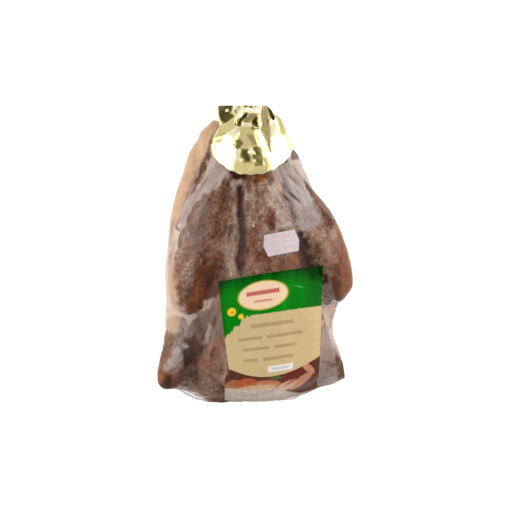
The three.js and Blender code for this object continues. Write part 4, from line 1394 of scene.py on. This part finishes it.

# %% [markdown]
# Gold packing foil is aluminium with a yellow lacquer: a mirror that is a little dull, with a
# pale lemon tint. The ramp runs from a painted highlight, near white, through that tint to a
# painted dark reflection, deep khaki. Clouds 7 mm wide make both the tint and the dullness uneven.

# %% Gold foil
material, tree, shader, place = start_material("gold_lacquered_foil")
dull = add_node(tree, "TexNoise", {"Vector": place, "Scale": 1 / (7 * MM), "Detail": 4.0})
rough = add_node(tree, "MapRange", {0: dull.outputs[0], 1: 0.3, 2: 0.7, 3: 0.2, 4: 0.34})
tint_and_painted_reflection = add_node(tree, "Attribute", attribute_name="tint_and_painted_reflection")
cloudy = add_node(tree, "Math", {0: dull.outputs[0], 1: 0.24, 2: -0.12}, operation="MULTIPLY_ADD")
depth = add_node(
    tree, "Math", {0: tint_and_painted_reflection.outputs["Fac"], 1: cloudy.outputs[0]}, operation="ADD"
)
tone = add_node(tree, "ValToRGB", {0: depth.outputs[0]})
for spot, code in ((0.18, "#e8dc98"), (0.36, "#cbb584"), (0.6, "#857a48")):
    tone.color_ramp.elements.new(spot).color = linear(code)
tone.color_ramp.elements[0].color = linear("#fbf3d6")
tone.color_ramp.elements[-1].color = linear("#35280f")
tree.links.new(tone.outputs[0], shader.inputs["Base Color"])
tree.links.new(rough.outputs[0], shader.inputs["Roughness"])
shader.inputs["Metallic"].default_value = 1.0
bump = add_node(tree, "Bump", {"Height": dull.outputs[0], "Distance": 0.4 * MM, "Strength": 0.4})
tree.links.new(bump.outputs[0], shader.inputs["Normal"])
dress(foil, material)

# %% [markdown]
# The label is coated paper, whose china clay gives clean colours and a weak sheen. Its print is
# three fields: a leaf-green band on top, a beige panel, and a warm brown foot. The print follows
# the sheet, so it is laid out in millimetres on the label's UV map. The band is dark green like
# grass in shade, with streaks that lean.

# %% Print the green band
LABEL_SIZE = (86, 108)  # mm

material, tree, shader, place = start_material("coated_label_paper")
sheet_uv = add_node(tree, "UVMap").outputs[0]
flat = add_node(tree, "VectorMath", {0: sheet_uv, 1: (*LABEL_SIZE, 0)}, operation="MULTIPLY")
flat = flat.outputs[0]
axes = add_node(tree, "SeparateXYZ", {0: flat})
across, up = axes.outputs[0], axes.outputs[1]
meadow = add_node(  # streaks 9 mm wide and 26 mm long
    tree, "Mapping", {"Vector": flat, "Rotation": (0, 0, 0.7), "Scale": (1 / 9, 1 / 26, 1)}
)
streak = add_node(
    tree,
    "TexNoise",
    {"Vector": meadow.outputs[0], "Scale": 1.0, "Detail": 2.0, "Roughness": 0.4},
)
shaded = add_node(tree, "Math", {0: streak.outputs[0], 1: 0.5, 2: 0.45}, operation="MULTIPLY_ADD")
for way, near, far, amount in (
    (up, 94.0, 108.0, 0.45),
    (across, 58.0, 82.0, 0.3),
    (across, 12.0, -6.0, 0.25),
):  # darker towards three of its sides; towards the right it is painted shadow from the gap beside it
    shade = add_node(tree, "MapRange", {0: way, 1: near, 2: far, 3: 0.0, 4: amount})
    shaded = add_node(
        tree, "Math", {0: shaded.outputs[0], 1: shade.outputs[0]}, operation="SUBTRACT"
    )
leaf = add_node(tree, "ValToRGB", {0: shaded.outputs[0]})
leaf.color_ramp.elements[0].position, leaf.color_ramp.elements[0].color = 0.15, linear("#002a02")
leaf.color_ramp.elements[1].position, leaf.color_ramp.elements[1].color = 0.9, linear("#1e8c1a")
for spot, code in ((0.5, "#005c06"), (0.72, "#006e08")):
    leaf.color_ramp.elements.new(spot).color = linear(code)
print("nodes so far:", len(tree.nodes))

# %% [markdown]
# Where band and panel meet, the edge runs down to the left in a curve and is ragged there, as if
# blades of grass stood out over the panel. A noise stretched upwards moves the edge up and down,
# and a number that grows to the left says how much. The panel is beige, with a weak grain.

# %% Print the ragged edge and the panel
tufts = add_node(  # blades 3.2 mm wide and 14 mm long
    tree, "Mapping", {"Vector": flat, "Scale": (1 / 3.2, 1 / 14, 1)}
)
blades = add_node(tree, "TexNoise", {"Vector": tufts.outputs[0], "Scale": 1.0, "Detail": 3.0})
rough_side = add_node(tree, "MapRange", {0: across, 1: 30.0, 2: 8.0, 3: 1.0, 4: 22.0})
fringe = add_node(
    tree,
    "MapRange",
    {0: across, 1: 2.0, 2: 24.0, 3: 60.0, 4: 74.5},
    interpolation_type="SMOOTHSTEP",
)
centred = add_node(tree, "Math", {0: blades.outputs[0], 1: 0.5}, operation="SUBTRACT")
top = add_node(
    tree,
    "Math",
    {0: centred.outputs[0], 1: rough_side.outputs[0], 2: fringe.outputs[0]},
    operation="MULTIPLY_ADD",
)
over_top = add_node(tree, "Math", {0: up, 1: top.outputs[0]}, operation="SUBTRACT")
in_band = add_node(tree, "MapRange", {0: over_top.outputs[0], 1: -0.4, 2: 0.4, 3: 0.0, 4: 1.0})
fibre = add_node(tree, "TexNoise", {"Vector": flat, "Scale": 1 / 4, "Detail": 4.0})  # 4 mm
beige = add_node(
    tree,
    "Mix",
    {0: fibre.outputs[0], 6: linear("#ab9469"), 7: linear("#b8a278")},
    data_type="RGBA",
)
printed = add_node(
    tree,
    "Mix",
    {0: in_band.outputs[0], 6: beige.outputs[2], 7: leaf.outputs[0]},
    data_type="RGBA",
)
print("nodes so far:", len(tree.nodes))

# %% [markdown]
# Print is ink over ink, so it is built as a printer would: each round is mixed over all that
# came before it. A round is the place on the label, moved to its centre, turned, and divided by
# its half width and height, so that its outline is where the length is 1. On the band they make
# a bordered plaque and a few dots; in the foot they overlap like cut slices on a dark ground.

# %% Print the rounds
ROUNDS = (  # field, centre, half width and height in mm, turn and colour
    ("band", (36, 90), (22, 12.8), 0.0, "#a98c3c"),
    ("band", (36, 90), (21, 11.9), 0.0, "#cbb88e"),
    ("band", (36, 90), (18.6, 10), 0.0, "#d0b297"),
    ("band", (9, 80), (4.2, 4.0), 0.0, "#cfae28"),
    ("band", (16.5, 75), (2.8, 2.6), 0.0, "#cfae28"),
    ("band", (9.4, 79.6), (1.8, 1.6), 0.0, "#b8601c"),
    ("band", (66, 93), (5, 1.1), -0.3, "#2f8f48"),
    ("foot", (62, 22), (12, 6.5), 0.25, "#5a2418"),
    ("foot", (76, 24), (9, 3.2), -0.75, "#a8745e"),
    ("foot", (70, 14), (13, 4.5), 0.5, "#a06a52"),
    ("foot", (8, 15), (9, 6.5), 0.2, "#8a5634"),
    ("foot", (19, 18), (12, 4.6), 0.1, "#97482c"),
    ("foot", (40, 17), (13, 3.2), -0.08, "#a4674a"),
    ("foot", (47, 21), (8, 1.6), -0.1, "#4f5a36"),
    ("foot", (30, 12.5), (20, 4.2), 0.05, "#b08c68"),
    ("foot", (55, 12), (12, 4.5), 0.3, "#b18a70"),
    ("foot", (60, 15), (7, 2.0), 0.35, "#9a5c44"),
    ("foot", (14, 11), (7, 2.2), -0.15, "#bb9c7a"),
)

ground = add_node(
    tree,
    "Mix",
    {0: fibre.outputs[0], 6: linear("#3a1c12"), 7: linear("#5c3424")},
    data_type="RGBA",
)
fields = {"band": printed, "foot": ground}
for field, centre, half, turned, code in ROUNDS:
    moved = add_node(tree, "VectorMath", {0: flat, 1: (*centre, 0)}, operation="SUBTRACT")
    fitted = add_node(
        tree,
        "Mapping",
        {"Vector": moved.outputs[0], "Rotation": (0, 0, turned)},
        vector_type="TEXTURE",
    )
    scaled = add_node(
        tree,
        "VectorMath",
        {0: fitted.outputs[0], 1: (1 / half[0], 1 / half[1], 0)},
        operation="MULTIPLY",
    )
    far = add_node(tree, "VectorMath", {0: scaled.outputs[0]}, operation="LENGTH")
    spot = add_node(  # its edge is a millimetre soft
        tree, "MapRange", {0: far.outputs["Value"], 1: 1.0, 2: 1 - 1 / min(half), 3: 0.0, 4: 1.0}
    )
    fields[field] = add_node(
        tree,
        "Mix",
        {0: spot.outputs[0], 6: fields[field].outputs[2], 7: linear(code)},
        data_type="RGBA",
    )
printed, meat = fields["band"], fields["foot"]
print("rounds:", len(ROUNDS))

# %% [markdown]
# Plaque and panel carry plain bars. Each is two soft-edged strips, one across the label and one
# up it, multiplied: it shows only where both do. Their edges are a little soft, as print is that
# one sees through frost.

# %% Print the bars
BARS = (  # left and right end, middle height, half height in mm, colour and strength
    (22, 50, 92.5, 2.1, "#a3383a", 0.85),
    (28, 44, 85.5, 1.2, "#a3585a", 0.7),
    (24, 62, 65, 2.0, "#7d6440", 0.5),
    (12, 34, 55, 1.6, "#7d6440", 0.5),
    (38, 70, 55, 1.6, "#7d6440", 0.5),
    (16, 40, 46, 1.6, "#7d6440", 0.5),
    (44, 64, 46, 1.6, "#7d6440", 0.5),
    (15, 30, 37, 1.6, "#7d6440", 0.5),
    (34, 62, 37, 1.6, "#7d6440", 0.5),
    (38, 62, 28.5, 2.8, "#c9c6c0", 0.95),
    (42, 58, 28.5, 1.0, "#8a9098", 0.6),
)
SOFT = 0.6  # mm

for left, right, row, half_high, code, strength in BARS:
    sides = []
    for way, middle, half, ink in (
        (up, row, half_high, strength),
        (across, (left + right) / 2, (right - left) / 2, 1.0),
    ):
        off = add_node(tree, "Math", {0: way, 1: middle}, operation="SUBTRACT")
        off = add_node(tree, "Math", {0: off.outputs[0]}, operation="ABSOLUTE")
        near = add_node(
            tree, "MapRange", {0: off.outputs[0], 1: half, 2: half - SOFT, 3: 0.0, 4: ink}
        )
        sides.append(near.outputs[0])
    bar = add_node(tree, "Math", dict(enumerate(sides)), operation="MULTIPLY")
    printed = add_node(
        tree,
        "Mix",
        {0: bar.outputs[0], 6: printed.outputs[2], 7: linear(code)},
        data_type="RGBA",
    )
print("bars:", len(BARS))

# %% [markdown]
# The foot lies under a shallow arc. Its slices get the marbling of smoked meat from a coloured
# noise in soft light, and below them is a bare margin, worn and a little dirty, that narrows to
# the right.

# %% Print the foot and its margin
ARC_MIDDLE, ARC_LOWEST, ARC_BEND = 42.0, 22.5, 0.005  # x, height, and rise per mm squared

fleck = add_node(  # marbling 3.3 mm wide
    tree, "TexNoise", {"Vector": flat, "Scale": 0.3, "Detail": 4.0, "Roughness": 0.7}
)
meat = add_node(
    tree,
    "Mix",
    {0: 0.9, 6: meat.outputs[2], 7: fleck.outputs[1]},
    data_type="RGBA",
    blend_type="SOFT_LIGHT",
)
bent = add_node(tree, "Math", {0: across, 1: ARC_MIDDLE}, operation="SUBTRACT")
bent = add_node(tree, "Math", {0: bent.outputs[0], 1: bent.outputs[0]}, operation="MULTIPLY")
arc = add_node(
    tree, "Math", {0: bent.outputs[0], 1: ARC_BEND, 2: ARC_LOWEST}, operation="MULTIPLY_ADD"
)
in_foot = add_node(tree, "Math", {0: up, 1: arc.outputs[0]}, operation="LESS_THAN")
margin = add_node(
    tree,
    "MapRange",
    {0: across, 1: 40.0, 2: 76.0, 3: 13.5, 4: 2.0},
    interpolation_type="SMOOTHSTEP",
)
below = add_node(tree, "Math", {0: margin.outputs[0], 1: up}, operation="SUBTRACT")
in_margin = add_node(tree, "MapRange", {0: below.outputs[0], 1: 0.0, 2: 1.5, 3: 0.0, 4: 0.85})
worn = add_node(
    tree,
    "Mix",
    {0: fibre.outputs[0], 6: linear("#84746a"), 7: linear("#c0b1a6")},
    data_type="RGBA",
)
for share, field in ((in_foot, meat), (in_margin, worn)):
    printed = add_node(
        tree,
        "Mix",
        {0: share.outputs[0], 6: printed.outputs[2], 7: field.outputs[2]},
        data_type="RGBA",
    )
tree.links.new(printed.outputs[2], shader.inputs["Base Color"])
shader.inputs["Roughness"].default_value = 0.42
shader.inputs["Specular IOR Level"].default_value = 0.03
dress(label, material)

# %% [markdown]
# The price sticker is thermal paper: matt, with a cold pinkish white and a weak grain. Its ink
# has faded to three rows of broken dashes. Each row is a band of the UV map, cut up by a coarse
# noise.

# %% Sticker paper
INK_ROWS = (  # height on the sticker, half height, colour, and how much of it is missing
    (0.8, 0.07, "#b58a94", 0.4),
    (0.52, 0.03, "#b08f98", 0.5),
    (0.24, 0.08, "#8f84a0", 0.52),
)

material, tree, shader, place = start_material("thermal_sticker_paper")
sheet_uv = add_node(tree, "UVMap").outputs[0]
axes = add_node(tree, "SeparateXYZ", {0: sheet_uv})
fibre = add_node(tree, "TexNoise", {"Vector": place, "Scale": 1 / (2 * MM), "Detail": 3.0})  # 2 mm
printed = add_node(
    tree,
    "Mix",
    {0: fibre.outputs[0], 6: linear("#a99b9d"), 7: linear("#bdb0b2")},
    data_type="RGBA",
)
dashes = add_node(tree, "TexNoise", {"Vector": sheet_uv, "Scale": 9.0, "Detail": 0.0})  # 3.6 mm
for row, half_high, code, least in INK_ROWS:
    bar = add_node(tree, "Math", {0: axes.outputs[1], 1: row, 2: half_high}, operation="COMPARE")
    gap = add_node(
        tree, "MapRange", {0: dashes.outputs[0], 1: least, 2: least + 0.1, 3: 0.0, 4: 0.45}
    )
    ink = add_node(tree, "Math", {0: bar.outputs[0], 1: gap.outputs[0]}, operation="MULTIPLY")
    printed = add_node(
        tree,
        "Mix",
        {0: ink.outputs[0], 6: printed.outputs[2], 7: linear(code)},
        data_type="RGBA",
    )
tree.links.new(printed.outputs[2], shader.inputs["Base Color"])
shader.inputs["Roughness"].default_value = 0.6
shader.inputs["Specular IOR Level"].default_value = 0.2
dress(sticker, material)

# %% [markdown]
# ## Light, floor and camera
#
# Frozen food is photographed on white. The floor is a matt white sheet that glows a little, as
# a lit table does, so that the shadows stay weak.

# %% Floor
bpy.ops.object.select_all(action="DESELECT")
bpy.ops.mesh.primitive_plane_add(size=4, location=(0, 0, 0))
floor = bpy.context.object
floor.name = "floor"
material, tree, shader, place = start_material("white_studio_floor")
shader.inputs["Base Color"].default_value = linear("#fcfcfc")
shader.inputs["Roughness"].default_value = 0.9
shader.inputs["Emission Color"].default_value = linear("#ffffff")
shader.inputs["Emission Strength"].default_value = 0.25
dress(floor, material)

# %% [markdown]
# Big soft boxes stand at both sides, and above there is only a small weak one, so that the gloss
# stays off the middle. The foil shows why: its sides mirror the boxes and go white, and its front
# mirrors the dark room behind the camera. That room is the middle of the world's dome.

# %% Studio light
SOFT_BOXES = (  # name, place in m, width and height in m, power in W
    ("box_left", (-1.05, 0.0, 0.6), 1.7, 1.3, 14),
    ("box_right", (1.05, 0.05, 0.62), 1.7, 1.3, 15),
    ("box_top", (0.3, 0.6, 1.15), 0.15, 0.15, 1.6),
)
BIRD_MIDDLE = Vector((0, 0, 0.05))

world = bpy.data.worlds.new("studio")
bpy.context.scene.world = world
world.use_nodes = True
tree = world.node_tree
up = add_node(tree, "SeparateXYZ", {0: add_node(tree, "TexCoord").outputs["Generated"]})
dome = add_node(tree, "MapRange", {0: up.outputs[2], 1: 0.8, 2: 0.985, 3: 0.8, 4: 0.12})
tree.links.new(dome.outputs[0], tree.nodes["Background"].inputs["Strength"])
tree.nodes["Background"].inputs["Color"].default_value = linear("#ffffff")

for name, place, wide, tall, power in SOFT_BOXES:
    bpy.ops.object.light_add(type="AREA", location=place)
    box = bpy.context.object
    box.name = name
    box.data.shape = "RECTANGLE"
    box.data.size, box.data.size_y = wide, tall
    box.data.energy = power
    box.rotation_euler = (BIRD_MIDDLE - Vector(place)).to_track_quat("-Z", "Y").to_euler()
print("soft boxes:", len(SOFT_BOXES))

# %% [markdown]
# The camera looks straight down from 1.3 m with a long lens, so the breast hardly looks bigger
# than the back. The Standard view shows the colours as they were chosen, and white stays white.

# %% Camera
CAMERA_AT = (-0.00135, -0.0018, 1.335)  # m, over the middle of the photograph

camera = bpy.data.objects.new("camera", bpy.data.cameras.new("camera"))
bpy.context.scene.collection.objects.link(camera)
camera.data.lens = 100
camera.data.sensor_width = 36
camera.location = CAMERA_AT
bpy.context.scene.camera = camera
bpy.context.scene.view_settings.view_transform = "Standard"
print("camera at", [round(x, 3) for x in camera.location], "m")

# %% [markdown]
# ## Put the pieces in place
#
# Each piece rides on the one body of the bird, and the CAD node that it replaces is hidden.
# Each piece's size is printed, as those of the CAD nodes were at the start.

# %% Ride, hide the CAD nodes and print the sizes
for piece, slot, node in (
    (hen, "smoked_skin", None),
    (film, "clear_film", "bag"),
    (foil, "gold_foil", "foil_cap"),
    (label, "label_paper", "label"),
    (sticker, "sticker_paper", "price_sticker"),
):
    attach(piece, "root")
    if node:
        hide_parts(node)
    report(piece)
